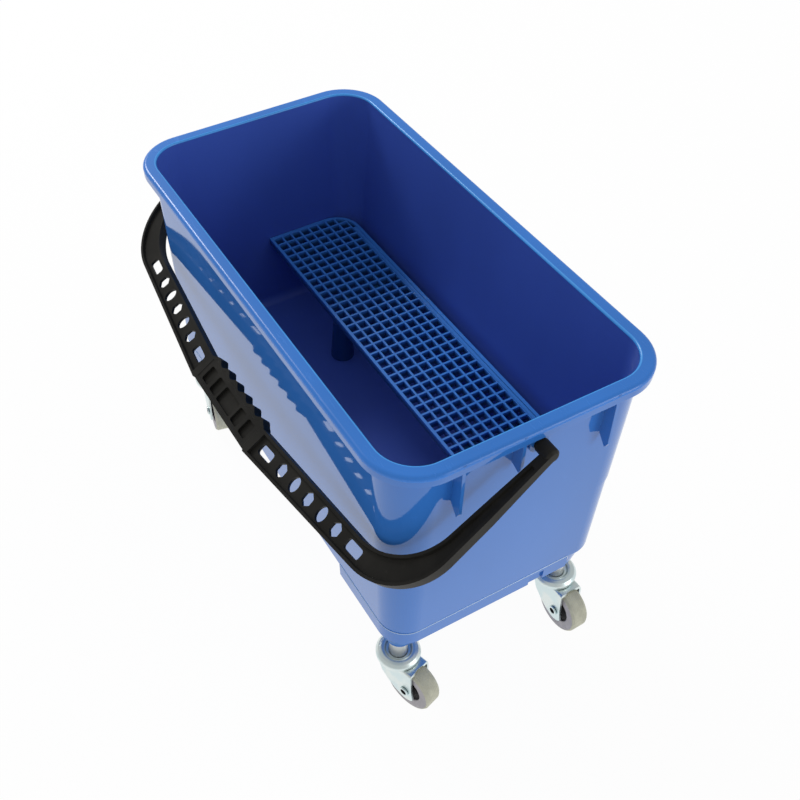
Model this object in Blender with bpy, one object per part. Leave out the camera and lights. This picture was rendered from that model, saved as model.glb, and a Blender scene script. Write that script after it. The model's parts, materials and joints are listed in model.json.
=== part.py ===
"""Rectangular flat-mop bucket: drafted tub, lift-out drain grid, swinging bail handle, four swivel casters.

X runs along the tub, +X at the end with the notched foot; the handle hangs on the -Y side; Z is up.
The model stands on z = 0, with its bounding box centred on the Z axis.
"""
import math

import bmesh
import bpy
from mathutils import Matrix, Vector

for old in list(bpy.data.objects):
    bpy.data.objects.remove(old, do_unlink=True)

MM = 0.001
CLEARANCE = 0.3 * MM           # running gap between neighbouring pieces

# Tub
RIM_HEIGHT = 354.0 * MM        # top of the rim above the ground
OPENING_LENGTH = 471.0 * MM    # clear opening at the rim
OPENING_WIDTH = 235.5 * MM
OPENING_RADIUS = 33.5 * MM     # inner corner radius
DRAFT = 0.0436                 # inward lean of every wall per unit of height
WALL = 3.5 * MM
FLOOR_HEIGHT = 117.5 * MM      # inside floor above the ground
FLOOR_FILLET = 9.0 * MM
BOTTOM_ROUND = 7.0 * MM
RIM_WIDTH = 13.2 * MM
RIM_THICKNESS = 3.2 * MM
RIM_ROUND = 4.0 * MM
LIP_ROUND = 1.8 * MM
SKIRT_DEPTH = 11.0 * MM
SKIRT_THICKNESS = 2.4 * MM
WALL_STEP = 0.8 * MM           # the walls step in a little at mid height
STEP_HEIGHT_OUT = 218.5 * MM
STEP_HEIGHT_IN = 226.0 * MM
CORNER_STEPS = 5

# Feet under both ends of the tub
FOOT_DROP = 9.0 * MM           # feet below the tub's underside
FOOT_LENGTH = 94.0 * MM
FOOT_WALL = 3.0 * MM
FOOT_INSET = 14.0 * MM         # set-in on the +Y side
FOOT_RADIUS = 42.0 * MM
BAND_LAP = 8.0 * MM            # the band laps up the outside of the wall
BAND_PROUD = 0.6 * MM
BAND_END = 74.0 * MM           # the raised band stops short of the +Y corners
NOTCH_WIDTH = 16.0 * MM
NOTCH_CENTRE = 40.0 * MM
NOTCH_HEIGHT = 8.0 * MM

# Ribs under the rim at both ends
RIB_THICKNESS = 3.0 * MM
RIB_OFFSET = 70.0 * MM
RIB_DROP = 63.0 * MM           # below the rim's top, at the rib's outer edge
RIB_RAKE = 13.0 * MM
STOP_RIB_OFFSET = -16.5 * MM
STOP_RIB_DROP = 42.0 * MM

# Handle
PIVOT_DROP = 19.0 * MM         # pivot axis below the rim's top
FINGER_GAP = 11.757 * MM       # hanging grip off the opening's edge line
ARM_GAP = 3.6 * MM             # between the rim's skirt and the arm
ARM_WIDTH = 14.7 * MM          # at the corners
TAPER_LENGTH = 90.0 * MM       # the arms grow slimmer from here to the pivot
TAPER_OUT = 5.0 * MM
TAPER_IN = 1.5 * MM
THIN_END = 0.66                # thickness at the pivot as a share of the full thickness
BOSS_RADIUS = 6.4 * MM         # knuckle at the pivot
BAIL_THICKNESS = 11.0 * MM
BAIL_REACH = 195.3 * MM        # pivot axis to the outer edge beside the grip
BAIL_WIDTH = 27.3 * MM
OUTER_BOW = 0.135              # the long side falls back from the grip to the corners
INNER_BOW = 0.100
OUTER_CORNER = 62.0 * MM
INNER_CORNER = 60.0 * MM
FLANGE = 2.6 * MM
CHANNEL_DEPTH = 3.4 * MM        # recess in the top face
HOLLOW_DEPTH = 4.4 * MM         # recess in the underside
GRIP_LENGTH = 104.0 * MM
GRIP_STEP = 1.2 * MM
GRIP_SWELL = 1.0 * MM          # the grip stands in towards the tub
GRIP_GROOVES = 6
GROOVE_DEPTH = 2.0 * MM
POCKET_DEPTH = 3.0 * MM
HOLE_COUNT = 5                 # alternating hexagons and ellipses on each side of the grip
HOLE_START = 96.2 * MM         # first of them from the handle's middle
HOLE_PITCH = 20.1 * MM
HOLE_LENGTH = 14.6 * MM
HOLE_WIDTH = 10.6 * MM
SLOT_GAP = 24.5 * MM           # from the outer holes to the slots beyond them
SLOT_LENGTH = 18.6 * MM
SLOT_WIDTH = 9.8 * MM
STUB_RADIUS = 5.2 * MM
PAD_RADIUS = 9.5 * MM
PAD_REACH = 7.0 * MM           # pivot pad stands off the wall
PIVOT_DEPTH = 6.6 * MM

# Drain grid
GRID_HEIGHT = 205.0 * MM       # top of the ribs above the ground
GRID_ROWS = 38
GRID_COLUMNS = 8
GRID_RIB = 2.6 * MM
GRID_DEPTH = 8.0 * MM
GRID_BORDER = 3.6 * MM
GRID_BACK_BORDER = 8.0 * MM
GRID_FRONT = 7.6 * MM          # first lengthwise rib from the tub's middle plane
GRID_FAR_GAP = 0.4 * MM        # to the end wall at -X
GRID_NEAR_GAP = 6.0 * MM       # to the end wall at +X
GRID_BACK_GAP = 8.0 * MM       # to the long wall at +Y
GRID_CORNER = 28.0 * MM
LEG_COLUMNS = (2, 6)
LEG_ROWS = (10, 30)
LEG_TOP_RADIUS = 8.0 * MM
LEG_FOOT_RADIUS = 12.5 * MM
LEG_WALL = 2.0 * MM

# Casters
CASTER_END = 32.5 * MM         # swivel axes in from the opening's ends and sides
CASTER_SIDE = 29.25 * MM
CASTER_YAWS = (17.0, 2.5, -12.0, 14.0)
WHEEL_RADIUS = 25.0 * MM
TYRE_WIDTH = 18.3 * MM
CORE_RADIUS = 14.0 * MM
TRAIL = 19.8 * MM
FORK_WIDTH = 24.7 * MM
FORK_SHEET = 2.0 * MM
CROWN_GAP = 1.4 * MM           # tyre to the underside of the crown
TRACK_RADIUS = 17.0 * MM
TRACK_HEIGHT = 2.0 * MM
CUP_RADIUS = 21.0 * MM
CUP_HEIGHT = 8.6 * MM
STEM_RADIUS = 8.5 * MM
KINGPIN_RADIUS = 6.0 * MM
HEAD_RADIUS = 7.5 * MM
HEAD_HEIGHT = 2.7 * MM
SOCKET_RADIUS = 12.0 * MM
SOCKET_FLARE = 17.5 * MM       # where the socket meets the foot
SOCKET_DROP = 23.0 * MM        # sockets below the feet
AXLE_RADIUS = 3.0 * MM
RIVET_RADIUS = 4.8 * MM
RIVET_HEIGHT = 1.7 * MM

# Sizes that follow
BASE_HEIGHT = FLOOR_HEIGHT - WALL
FOOT_HEIGHT = BASE_HEIGHT - FOOT_DROP
BAND_TOP = BASE_HEIGHT + BAND_LAP
SOCKET_HEIGHT = FOOT_HEIGHT - SOCKET_DROP
CASTER_X = OPENING_LENGTH / 2 - CASTER_END
CASTER_Y = OPENING_WIDTH / 2 - CASTER_SIDE
PIVOT_HEIGHT = RIM_HEIGHT - PIVOT_DROP
SKIRT_X = OPENING_LENGTH / 2 + RIM_WIDTH
GRID_UNDER = GRID_HEIGHT - GRID_DEPTH
GRID_LEAN = WALL_STEP + DRAFT * (RIM_HEIGHT - GRID_UNDER)
GRID_FAR = GRID_LEAN - OPENING_LENGTH / 2 + GRID_FAR_GAP + GRID_BORDER
GRID_NEAR = OPENING_LENGTH / 2 - GRID_LEAN - GRID_NEAR_GAP - GRID_BORDER
GRID_BACK = OPENING_WIDTH / 2 - GRID_LEAN - GRID_BACK_GAP - GRID_BACK_BORDER
ROW_PITCH = (GRID_NEAR - GRID_FAR) / GRID_ROWS
COLUMN_PITCH = (GRID_BACK - GRID_FRONT) / GRID_COLUMNS
ARM_INNER = SKIRT_X + ARM_GAP
ARM_OUTER = ARM_INNER + ARM_WIDTH
GRIP_REACH = BAIL_REACH - BAIL_WIDTH - GRIP_SWELL - 2 * GROOVE_DEPTH
GRIP_SPAN = math.hypot(GRIP_REACH, BAIL_THICKNESS / 2)
GRIP_LEAD = math.atan2(BAIL_THICKNESS / 2, GRIP_REACH)
HANG_ANGLE = math.acos((OPENING_WIDTH / 2 + FINGER_GAP) / GRIP_SPAN) - GRIP_LEAD
CROWN_UNDER = 2 * WHEEL_RADIUS + CROWN_GAP
CROWN_TOP = CROWN_UNDER + FORK_SHEET
TRACK_TOP = CROWN_TOP + TRACK_HEIGHT


def lean(z):
    """Inward shift of the walls at height z."""
    return DRAFT * (RIM_HEIGHT - z)


def wall_x(z):
    """Half length over the outside of the end walls at height z."""
    return OPENING_LENGTH / 2 + WALL - lean(z)


def wall_y(z):
    return OPENING_WIDTH / 2 + WALL - lean(z)


def material(name, colour, roughness, metallic=0.0):
    made = bpy.data.materials.new(name)
    made.use_nodes = True
    shader = made.node_tree.nodes["Principled BSDF"]
    shader.inputs["Base Color"].default_value = (*colour, 1.0)
    shader.inputs["Roughness"].default_value = roughness
    shader.inputs["Metallic"].default_value = metallic
    made.diffuse_color = (*colour, 1.0)
    return made


def mesh_from(bm, name, smooth_angle=35.0):
    bmesh.ops.recalc_face_normals(bm, faces=bm.faces)
    mesh = bpy.data.meshes.new(name)
    bm.to_mesh(mesh)
    bm.free()
    mesh.shade_smooth()
    mesh.set_sharp_from_angle(angle=math.radians(smooth_angle))
    return mesh


def place(name, mesh, mat, parent, location=(0, 0, 0), rotation=(0, 0, 0)):
    made = bpy.data.objects.new(name, mesh)
    bpy.context.scene.collection.objects.link(made)
    if not mesh.materials:
        mesh.materials.append(mat)
    made.parent = parent
    made.location = location
    made.rotation_euler = rotation
    return made


def empty(name, parent, location=(0, 0, 0), rotation=(0, 0, 0)):
    made = bpy.data.objects.new(name, None)
    bpy.context.scene.collection.objects.link(made)
    made.parent = parent
    made.location = location
    made.rotation_euler = rotation
    return made


def combine(base, tools, operation):
    """Boolean each tool mesh into the base mesh and return the result."""
    body = bpy.data.objects.new("work", base)
    bpy.context.scene.collection.objects.link(body)
    extra = []
    for tool in tools:
        other = bpy.data.objects.new("tool", tool)
        bpy.context.scene.collection.objects.link(other)
        cut = body.modifiers.new("cut", "BOOLEAN")
        cut.operation = operation
        cut.solver = "EXACT"
        cut.object = other
        extra.append(other)
    bpy.context.view_layer.update()
    seen = body.evaluated_get(bpy.context.evaluated_depsgraph_get())
    result = bpy.data.meshes.new_from_object(seen)
    for other in extra + [body]:
        bpy.data.objects.remove(other, do_unlink=True)
    tidy = bmesh.new()
    tidy.from_mesh(result)
    bmesh.ops.remove_doubles(tidy, verts=tidy.verts, dist=0.01 * MM)
    bmesh.ops.dissolve_degenerate(tidy, edges=tidy.edges, dist=0.005 * MM)
    tidy.to_mesh(result)
    tidy.free()
    result.materials.clear()
    result.shade_smooth()
    result.set_sharp_from_angle(angle=math.radians(35.0))
    return result


def box(low, high):
    bm = bmesh.new()
    size = Vector(high) - Vector(low)
    middle = (Vector(high) + Vector(low)) / 2
    bmesh.ops.create_cube(bm, size=1.0, matrix=Matrix.Translation(middle) @ Matrix.Diagonal((*size, 1.0)))
    return mesh_from(bm, "box")


def cylinder(radius, low, high, steps, matrix=Matrix()):
    """Upright cylinder between two heights, then moved by the matrix."""
    bm = bmesh.new()
    shift = matrix @ Matrix.Translation((0, 0, (low + high) / 2))
    bmesh.ops.create_cone(bm, cap_ends=True, segments=steps, radius1=radius, radius2=radius,
                          depth=high - low, matrix=shift)
    return mesh_from(bm, "cylinder")


def prism(outline, depth, matrix=Matrix()):
    """Flat outline in XY, extruded by depth along Z and moved by the matrix."""
    bm = bmesh.new()
    face = bm.faces.new([bm.verts.new((x, y, 0)) for x, y in outline])
    made = bmesh.ops.extrude_face_region(bm, geom=[face])
    top = [v for v in made["geom"] if isinstance(v, bmesh.types.BMVert)]
    bmesh.ops.translate(bm, verts=top, vec=(0, 0, depth))
    bmesh.ops.transform(bm, matrix=matrix, verts=bm.verts)
    return mesh_from(bm, "prism")


def turned(profile, steps, closed):
    """Profile of (radius, height) pairs spun once round the Z axis."""
    bm = bmesh.new()
    points = [bm.verts.new((radius, 0, height)) for radius, height in profile]
    pairs = list(zip(points, points[1:] + points[:1])) if closed else list(zip(points, points[1:]))
    edges = [bm.edges.new(pair) for pair in pairs]
    bmesh.ops.spin(bm, geom=points + edges, cent=(0, 0, 0), axis=(0, 0, 1), angle=math.tau,
                   steps=steps, use_merge=True)
    bmesh.ops.remove_doubles(bm, verts=bm.verts, dist=0.01 * MM)
    return mesh_from(bm, "turned")


def ring(bm, half_x, half_y, radius, z, centre_y=0.0):
    """One level of a rounded rectangle, counter-clockwise."""
    made = []
    corners = ((1, 1, 0.0), (-1, 1, 0.5), (-1, -1, 1.0), (1, -1, 1.5))
    for sign_x, sign_y, turn in corners:
        for k in range(CORNER_STEPS + 1):
            angle = math.pi * (turn + 0.5 * k / CORNER_STEPS)
            x = sign_x * (half_x - radius) + radius * math.cos(angle)
            y = centre_y + sign_y * (half_y - radius) + radius * math.sin(angle)
            made.append(bm.verts.new((x, y, z)))
    return made


def loft(bm, rings, wrap):
    """Skin consecutive rings; a loop of rings closes on itself, a stack is capped."""
    pairs = list(zip(rings, rings[1:] + rings[:1])) if wrap else list(zip(rings, rings[1:]))
    for low, high in pairs:
        count = len(low)
        for k in range(count):
            after = (k + 1) % count
            bm.faces.new((low[k], low[after], high[after], high[k]))
    if not wrap:
        bm.faces.new(rings[0])
        bm.faces.new(rings[-1])


def arc(centre_a, centre_b, radius, start, end, steps):
    """Points of an arc, angles in degrees."""
    angles = [math.radians(start + (end - start) * k / steps) for k in range(steps + 1)]
    return [(centre_a + radius * math.cos(t), centre_b + radius * math.sin(t)) for t in angles]


# Tub: one profile of (offset from the opening, height) lofted round the rounded rectangle
def tub_shell():
    low = -WALL_STEP
    side = WALL - WALL_STEP
    top = RIM_HEIGHT
    profile = arc(low - FLOOR_FILLET, FLOOR_HEIGHT + FLOOR_FILLET, FLOOR_FILLET, -90, 0, 3)
    profile += [(low, STEP_HEIGHT_IN - 2 * WALL_STEP), (0.0, STEP_HEIGHT_IN)]
    profile += arc(LIP_ROUND, top - LIP_ROUND, LIP_ROUND, 180, 90, 2)
    profile += arc(RIM_WIDTH - RIM_ROUND, top - RIM_ROUND, RIM_ROUND, 90, 0, 3)
    profile += [(RIM_WIDTH, top - SKIRT_DEPTH), (RIM_WIDTH - SKIRT_THICKNESS, top - SKIRT_DEPTH)]
    profile += [(RIM_WIDTH - SKIRT_THICKNESS, top - RIM_THICKNESS), (WALL, top - RIM_THICKNESS)]
    profile += [(WALL, STEP_HEIGHT_OUT), (side, STEP_HEIGHT_OUT - 2 * WALL_STEP)]
    profile += arc(side - BOTTOM_ROUND, BASE_HEIGHT + BOTTOM_ROUND, BOTTOM_ROUND, 0, -90, 3)
    bm = bmesh.new()
    levels = []
    for offset, z in profile:
        out = offset - lean(z)
        levels.append(ring(bm, OPENING_LENGTH / 2 + out, OPENING_WIDTH / 2 + out,
                           OPENING_RADIUS + out, z))
    loft(bm, levels, wrap=False)
    return mesh_from(bm, "tub")


def foot_wall(top, proud, inset, radius, keep_low, keep_high):
    """Ring wall under the tub, flush with the wall on three sides, kept near both ends only."""
    bm = bmesh.new()
    levels = []
    sides = ((FOOT_HEIGHT, 0.0), (top, 0.0), (top, FOOT_WALL), (FOOT_HEIGHT, FOOT_WALL))
    for z, inward in sides:
        half_x = wall_x(z) - WALL_STEP + proud - inward
        near = wall_y(z) - WALL_STEP + proud - inward
        far = near - inset
        turn = radius - inward - lean(z)
        levels.append(ring(bm, half_x, (near + far) / 2, turn, z, (far - near) / 2))
    loft(bm, levels, wrap=True)
    wall = mesh_from(bm, "foot")
    reach = OPENING_LENGTH
    inner = wall_x(FOOT_HEIGHT) - FOOT_LENGTH
    middle = box((-inner, -reach, 0), (inner, reach, RIM_HEIGHT))
    if keep_low is None:
        other = box((-reach, -reach, 0), (reach, keep_high, RIM_HEIGHT))
    else:
        other = box((-reach, keep_low, 0), (reach, reach, RIM_HEIGHT))
    return combine(wall, [middle, other], "DIFFERENCE")


def tub():
    shell = tub_shell()
    plate = BASE_HEIGHT + 0.45 * WALL       # tops of the feet end inside the floor plate
    flush = OPENING_RADIUS + WALL - WALL_STEP
    band = foot_wall(BAND_TOP, BAND_PROUD, 0.0, flush, BAND_END, None)
    back = foot_wall(plate, 0.0, FOOT_INSET, FOOT_RADIUS, None, BAND_END - FOOT_RADIUS)
    added = [band, back]
    inner = wall_x(FOOT_HEIGHT) - FOOT_LENGTH
    for end in (1, -1):
        cross = sorted((end * inner, end * (inner + FOOT_WALL)))
        front = -wall_y(FOOT_HEIGHT) + WALL_STEP + 0.4 * FOOT_WALL
        rear = wall_y(FOOT_HEIGHT) - WALL_STEP - FOOT_INSET - 0.4 * FOOT_WALL
        added.append(box((cross[0], front, FOOT_HEIGHT + 0.2 * MM), (cross[1], rear, plate)))
        for side in (1, -1):
            spot = Matrix.Translation((end * CASTER_X, side * CASTER_Y, 0))
            socket = turned([(0, plate), (SOCKET_FLARE, plate), (SOCKET_FLARE, FOOT_HEIGHT),
                             (SOCKET_RADIUS, SOCKET_HEIGHT), (0, SOCKET_HEIGHT)], 16, closed=False)
            socket.transform(spot)
            added.append(socket)
        # ribs between the wall and the skirt, in the XZ plane
        ribs = ((-RIB_OFFSET, RIB_DROP, RIB_RAKE), (RIB_OFFSET, RIB_DROP, RIB_RAKE),
                (STOP_RIB_OFFSET, STOP_RIB_DROP, 0.4 * RIB_RAKE))
        for offset, drop, rake in ribs:
            top = RIM_HEIGHT - 0.5 * RIM_THICKNESS
            foot = RIM_HEIGHT - drop
            outer = SKIRT_X - 0.3 * MM
            outline = [(wall_x(top) - 0.5 * WALL, top), (outer, top), (outer, foot + 0.1 * drop),
                       (outer - 0.05 * drop, foot), (wall_x(foot + rake) - 0.5 * WALL, foot + rake)]
            turn = Matrix.Rotation(math.pi / 2, 4, "X")
            shift = Matrix.Translation((0, offset + RIB_THICKNESS / 2, 0))
            flip = Matrix.Diagonal((end, 1, 1, 1))
            added.append(prism(outline, RIB_THICKNESS, flip @ shift @ turn))
        across = Matrix.Translation((0, 0, PIVOT_HEIGHT)) @ Matrix.Rotation(end * math.pi / 2, 4, "Y")
        pad_end = wall_x(PIVOT_HEIGHT) + PAD_REACH
        added.append(cylinder(PAD_RADIUS, wall_x(PIVOT_HEIGHT) - 0.5 * WALL, pad_end, 20, across))
    body = combine(shell, added, "UNION")
    cuts = []
    for end in (1, -1):
        across = Matrix.Translation((0, 0, PIVOT_HEIGHT)) @ Matrix.Rotation(end * math.pi / 2, 4, "Y")
        pad_end = wall_x(PIVOT_HEIGHT) + PAD_REACH
        cuts.append(cylinder(STUB_RADIUS + CLEARANCE, pad_end - PIVOT_DEPTH, pad_end + PAD_REACH, 20,
                             across))
        for side in (1, -1):
            spot = Matrix.Translation((end * CASTER_X, side * CASTER_Y, 0))
            bore_top = BASE_HEIGHT - 0.4 * WALL
            cuts.append(cylinder(STEM_RADIUS + CLEARANCE, SOCKET_HEIGHT - 5 * MM, bore_top, 16, spot))
        reach = wall_x(FOOT_HEIGHT)
        span = sorted((end * (reach - 3 * FOOT_WALL), end * (reach + 3 * FOOT_WALL)))
        edge = NOTCH_CENTRE - NOTCH_WIDTH / 2
        cuts.append(box((span[0], edge, FOOT_HEIGHT - 3 * MM),
                        (span[1], edge + NOTCH_WIDTH, FOOT_HEIGHT + NOTCH_HEIGHT)))
    return combine(body, cuts, "DIFFERENCE")


# Drain grid: a sheet of rib patches with every second patch left open, extruded down, on four tapered legs
def rib_lines(count, pitch, before, after):
    """Both edges of each rib along one direction, starting at the border's outer edge."""
    lines = []
    for k in range(count + 1):
        lines += [k * pitch - GRID_RIB / 2, k * pitch + GRID_RIB / 2]
    lines[0] = -before
    lines[-1] = count * pitch + after
    return lines


def rounded_back(x, y, length, width):
    """Pull the points near the two back corners inside a quarter circle, border points onto it."""
    for end, inward in ((0.0, 1), (length, -1)):
        from_end = abs(x - end)
        from_back = width - y
        lead = Vector((GRID_CORNER - from_end, GRID_CORNER - from_back))
        if min(lead) <= 0:
            continue
        on_edge = min(from_end, from_back) < 0.001 * MM
        reach = GRID_CORNER if on_edge else min(lead.length, GRID_CORNER - GRID_BORDER)
        lead = lead.normalized() * reach
        x = end + inward * (GRID_CORNER - lead.x)
        y = width - (GRID_CORNER - lead.y)
    return x, y


def drain_grid():
    across = rib_lines(GRID_ROWS, ROW_PITCH, GRID_BORDER, GRID_BORDER)
    along = rib_lines(GRID_COLUMNS, COLUMN_PITCH, GRID_RIB, GRID_BACK_BORDER)
    length, width = across[-1] - across[0], along[-1] - along[0]
    bm = bmesh.new()
    sheet = {}
    for i, x in enumerate(across):
        for j, y in enumerate(along):
            px, py = rounded_back(x - across[0], y - along[0], length, width)
            sheet[i, j] = bm.verts.new((px + across[0], py + along[0], 0))
    last_row, last_column = len(across) - 2, len(along) - 2
    for i in range(len(across) - 1):
        for j in range(len(along) - 1):
            corner_cell = j == last_column - 1 and i in (1, last_row - 1)
            if i % 2 == 0 or j % 2 == 0 or corner_cell:
                bm.faces.new((sheet[i, j], sheet[i + 1, j], sheet[i + 1, j + 1], sheet[i, j + 1]))
    made = bmesh.ops.extrude_face_region(bm, geom=list(bm.faces))
    low = [v for v in made["geom"] if isinstance(v, bmesh.types.BMVert)]
    bmesh.ops.translate(bm, verts=low, vec=(0, 0, -GRID_DEPTH))
    sheet_mesh = mesh_from(bm, "grid")
    leg_top = -GRID_DEPTH + 1.5 * MM
    leg_foot = -(GRID_HEIGHT - FLOOR_HEIGHT - CLEARANCE)
    profile = [(0, leg_top), (LEG_TOP_RADIUS, leg_top), (LEG_FOOT_RADIUS, leg_foot),
               (LEG_FOOT_RADIUS - LEG_WALL, leg_foot), (LEG_TOP_RADIUS - LEG_WALL, leg_top - 2 * LEG_WALL),
               (0, leg_top - 2 * LEG_WALL)]
    legs = []
    for row in LEG_ROWS:
        for column in LEG_COLUMNS:
            leg = turned(profile, 12, closed=False)
            leg.transform(Matrix.Translation((row * ROW_PITCH, column * COLUMN_PITCH, 0)))
            legs.append(leg)
    return combine(sheet_mesh, legs, "UNION")


# Handle: stations along the bail, each an open channel section, skinned from pivot to pivot
def fillet(line_x, level, slope, radius, steps):
    """Arc between the upright line at line_x and the sloping long side, from the upright on."""
    tilt = math.atan(slope)
    inset = radius * math.tan((math.pi / 2 - tilt) / 2)
    centre_x = line_x - radius
    meet = level - slope * line_x
    centre_s = meet - inset
    return [(centre_x + radius * math.cos(t), centre_s + radius * math.sin(t))
            for t in ((math.pi / 2 - tilt) * k / steps for k in range(steps + 1))]


def arm_share(s):
    """0 at the pivot, 1 from where the arm has its full size."""
    return min(max(s / TAPER_LENGTH, 0.0), 1.0)


def bail_stations():
    """(outer edge, inner edge, recess in the top, recess below) from mid-grip round to the +X pivot."""
    half = GRIP_LENGTH / 2
    inner_reach = BAIL_REACH - BAIL_WIDTH
    outer_level = BAIL_REACH + OUTER_BOW * half
    inner_level = inner_reach + INNER_BOW * half
    shallow = 0.6 * MM
    stations = []
    per_groove = 6
    count = GRIP_GROOVES * per_groove // 2
    phase = math.pi * (1 - GRIP_GROOVES % 2)
    for k in range(count + 1):
        x = half * k / count
        wave = GROOVE_DEPTH * math.cos(math.tau * GRIP_GROOVES * x / GRIP_LENGTH + phase)
        stations.append(((x, BAIL_REACH - GRIP_STEP), (x, inner_reach - GRIP_SWELL - GROOVE_DEPTH - wave),
                         shallow, HOLLOW_DEPTH))
    x = half + 1.0 * MM
    stations.append(((x, outer_level - OUTER_BOW * x), (x, inner_level - INNER_BOW * x), shallow,
                     HOLLOW_DEPTH))
    x = half + 3.0 * MM
    stations.append(((x, outer_level - OUTER_BOW * x), (x, inner_level - INNER_BOW * x), CHANNEL_DEPTH,
                     HOLLOW_DEPTH))
    outer_arc = fillet(ARM_OUTER, outer_level, OUTER_BOW, OUTER_CORNER, 8)[::-1]
    inner_arc = fillet(ARM_INNER, inner_level, INNER_BOW, INNER_CORNER, 8)[::-1]
    for share in (0.33, 0.66):
        points = []
        for ends, level, bow in ((outer_arc[0], outer_level, OUTER_BOW),
                                 (inner_arc[0], inner_level, INNER_BOW)):
            at = x + (ends[0] - x) * share
            points.append((at, level - bow * at))
        stations.append((points[0], points[1], CHANNEL_DEPTH, HOLLOW_DEPTH))
    stations += [(o, i, CHANNEL_DEPTH, HOLLOW_DEPTH) for o, i in zip(outer_arc, inner_arc)]
    # the arm, slimmer towards the pivot, closed and cut off inside the knuckle
    for s, top, under in ((2.4 * BOSS_RADIUS, CHANNEL_DEPTH, HOLLOW_DEPTH),
                          (2.0 * BOSS_RADIUS, shallow, shallow), (-0.5 * BOSS_RADIUS, shallow, shallow)):
        slim = 1 - arm_share(s)
        stations.append(((ARM_OUTER - TAPER_OUT * slim, s), (ARM_INNER + TAPER_IN * slim, s), top, under))
    return stations


def hole_outlines():
    """Cut-outs on one half of the long side: a slot, alternating hexagons and ellipses, a slot."""
    half = GRIP_LENGTH / 2
    middle_level = BAIL_REACH - BAIL_WIDTH / 2
    slope = (OUTER_BOW + INNER_BOW) / 2
    tilt = math.atan(slope)
    last = HOLE_START + HOLE_PITCH * (HOLE_COUNT - 1)
    slot = (SLOT_LENGTH / 2, SLOT_WIDTH / 2, 12, 4.0)
    holes = [(HOLE_START - SLOT_GAP, *slot), (last + SLOT_GAP, *slot)]
    for k in range(HOLE_COUNT):
        sides = 6 if k % 2 == 0 else 12
        holes.append((HOLE_START + HOLE_PITCH * k, HOLE_WIDTH / 2, HOLE_LENGTH / 2, sides, 2.0))
    outlines = []
    for x, half_a, half_b, sides, power in holes:
        s = middle_level - slope * (x - half)
        outline = []
        for n in range(sides):
            t = math.tau * (n + 0.5 * (sides == 12)) / sides + math.pi / 2
            stretch = (abs(math.cos(t)) ** power + abs(math.sin(t)) ** power) ** (-1 / power)
            a, b = half_a * stretch * math.cos(t), half_b * stretch * math.sin(t)
            px = x + a * math.cos(tilt) + b * math.sin(tilt)
            outline.append((px, -(s - a * math.sin(tilt) + b * math.cos(tilt))))
        outlines.append(outline)
    return outlines


def handle():
    half_stations = bail_stations()
    mirrored = [((-o[0], o[1]), (-i[0], i[1]), above, below) for o, i, above, below in half_stations[1:]]
    stations = mirrored[::-1] + half_stations
    top, bottom = BAIL_THICKNESS / 2, -BAIL_THICKNESS / 2
    bm = bmesh.new()
    sections = []
    for outer, inner, above, below in stations:
        o, i = Vector(outer), Vector(inner)
        across = (i - o).normalized() * FLANGE
        web, under = top - above, bottom + below
        thin = THIN_END + (1 - THIN_END) * arm_share((outer[1] + inner[1]) / 2)
        flat = [(o, bottom), (o, top), (o + across, top), (o + 1.2 * across, web),
                (i - 1.2 * across, web), (i - across, top), (i, top), (i, bottom),
                (i - across, bottom), (i - 1.2 * across, under), (o + 1.2 * across, under),
                (o + across, bottom)]
        sections.append([bm.verts.new((p.x, -p.y, thin * z)) for p, z in flat])
    loft(bm, sections, wrap=False)
    bail = mesh_from(bm, "bail")
    added = []
    pad_end = wall_x(PIVOT_HEIGHT) + PAD_REACH
    stub_end = pad_end - PIVOT_DEPTH + CLEARANCE
    for end in (1, -1):
        across = Matrix.Rotation(end * math.pi / 2, 4, "Y")
        boss_end = ARM_OUTER - TAPER_OUT + 0.4 * MM
        profile = [(0, stub_end), (STUB_RADIUS, stub_end), (STUB_RADIUS, pad_end + 1.0 * MM),
                   (BOSS_RADIUS, pad_end + 1.6 * MM), (BOSS_RADIUS, boss_end - 2.0 * MM),
                   (BOSS_RADIUS - 2.0 * MM, boss_end), (0, boss_end)]
        knuckle = turned(profile, 18, closed=False)
        knuckle.transform(across)
        added.append(knuckle)
    bail = combine(bail, added, "UNION")
    cuts = []
    through = Matrix.Translation((0, 0, -BAIL_THICKNESS))
    for outline in hole_outlines():
        cuts.append(prism(outline, 2 * BAIL_THICKNESS, through))
        cuts.append(prism([(-x, y) for x, y in outline[::-1]], 2 * BAIL_THICKNESS, through))
    # finger-side pockets of the grip: two narrow, one wide, two narrow
    low = BAIL_REACH - GRIP_STEP - 2 * FLANGE
    high = BAIL_REACH - BAIL_WIDTH + 2.0 * FLANGE
    pocket = GRIP_LENGTH / 9
    for centre, width in ((-3.3, 1.0), (-1.9, 1.0), (0.0, 2.3), (1.9, 1.0), (3.3, 1.0)):
        edge = width * pocket / 2
        cuts.append(box((centre * pocket - edge, -low, top - 0.6 * MM - POCKET_DEPTH),
                        (centre * pocket + edge, -high, top + POCKET_DEPTH)))
    return combine(bail, cuts, "DIFFERENCE")


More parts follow.
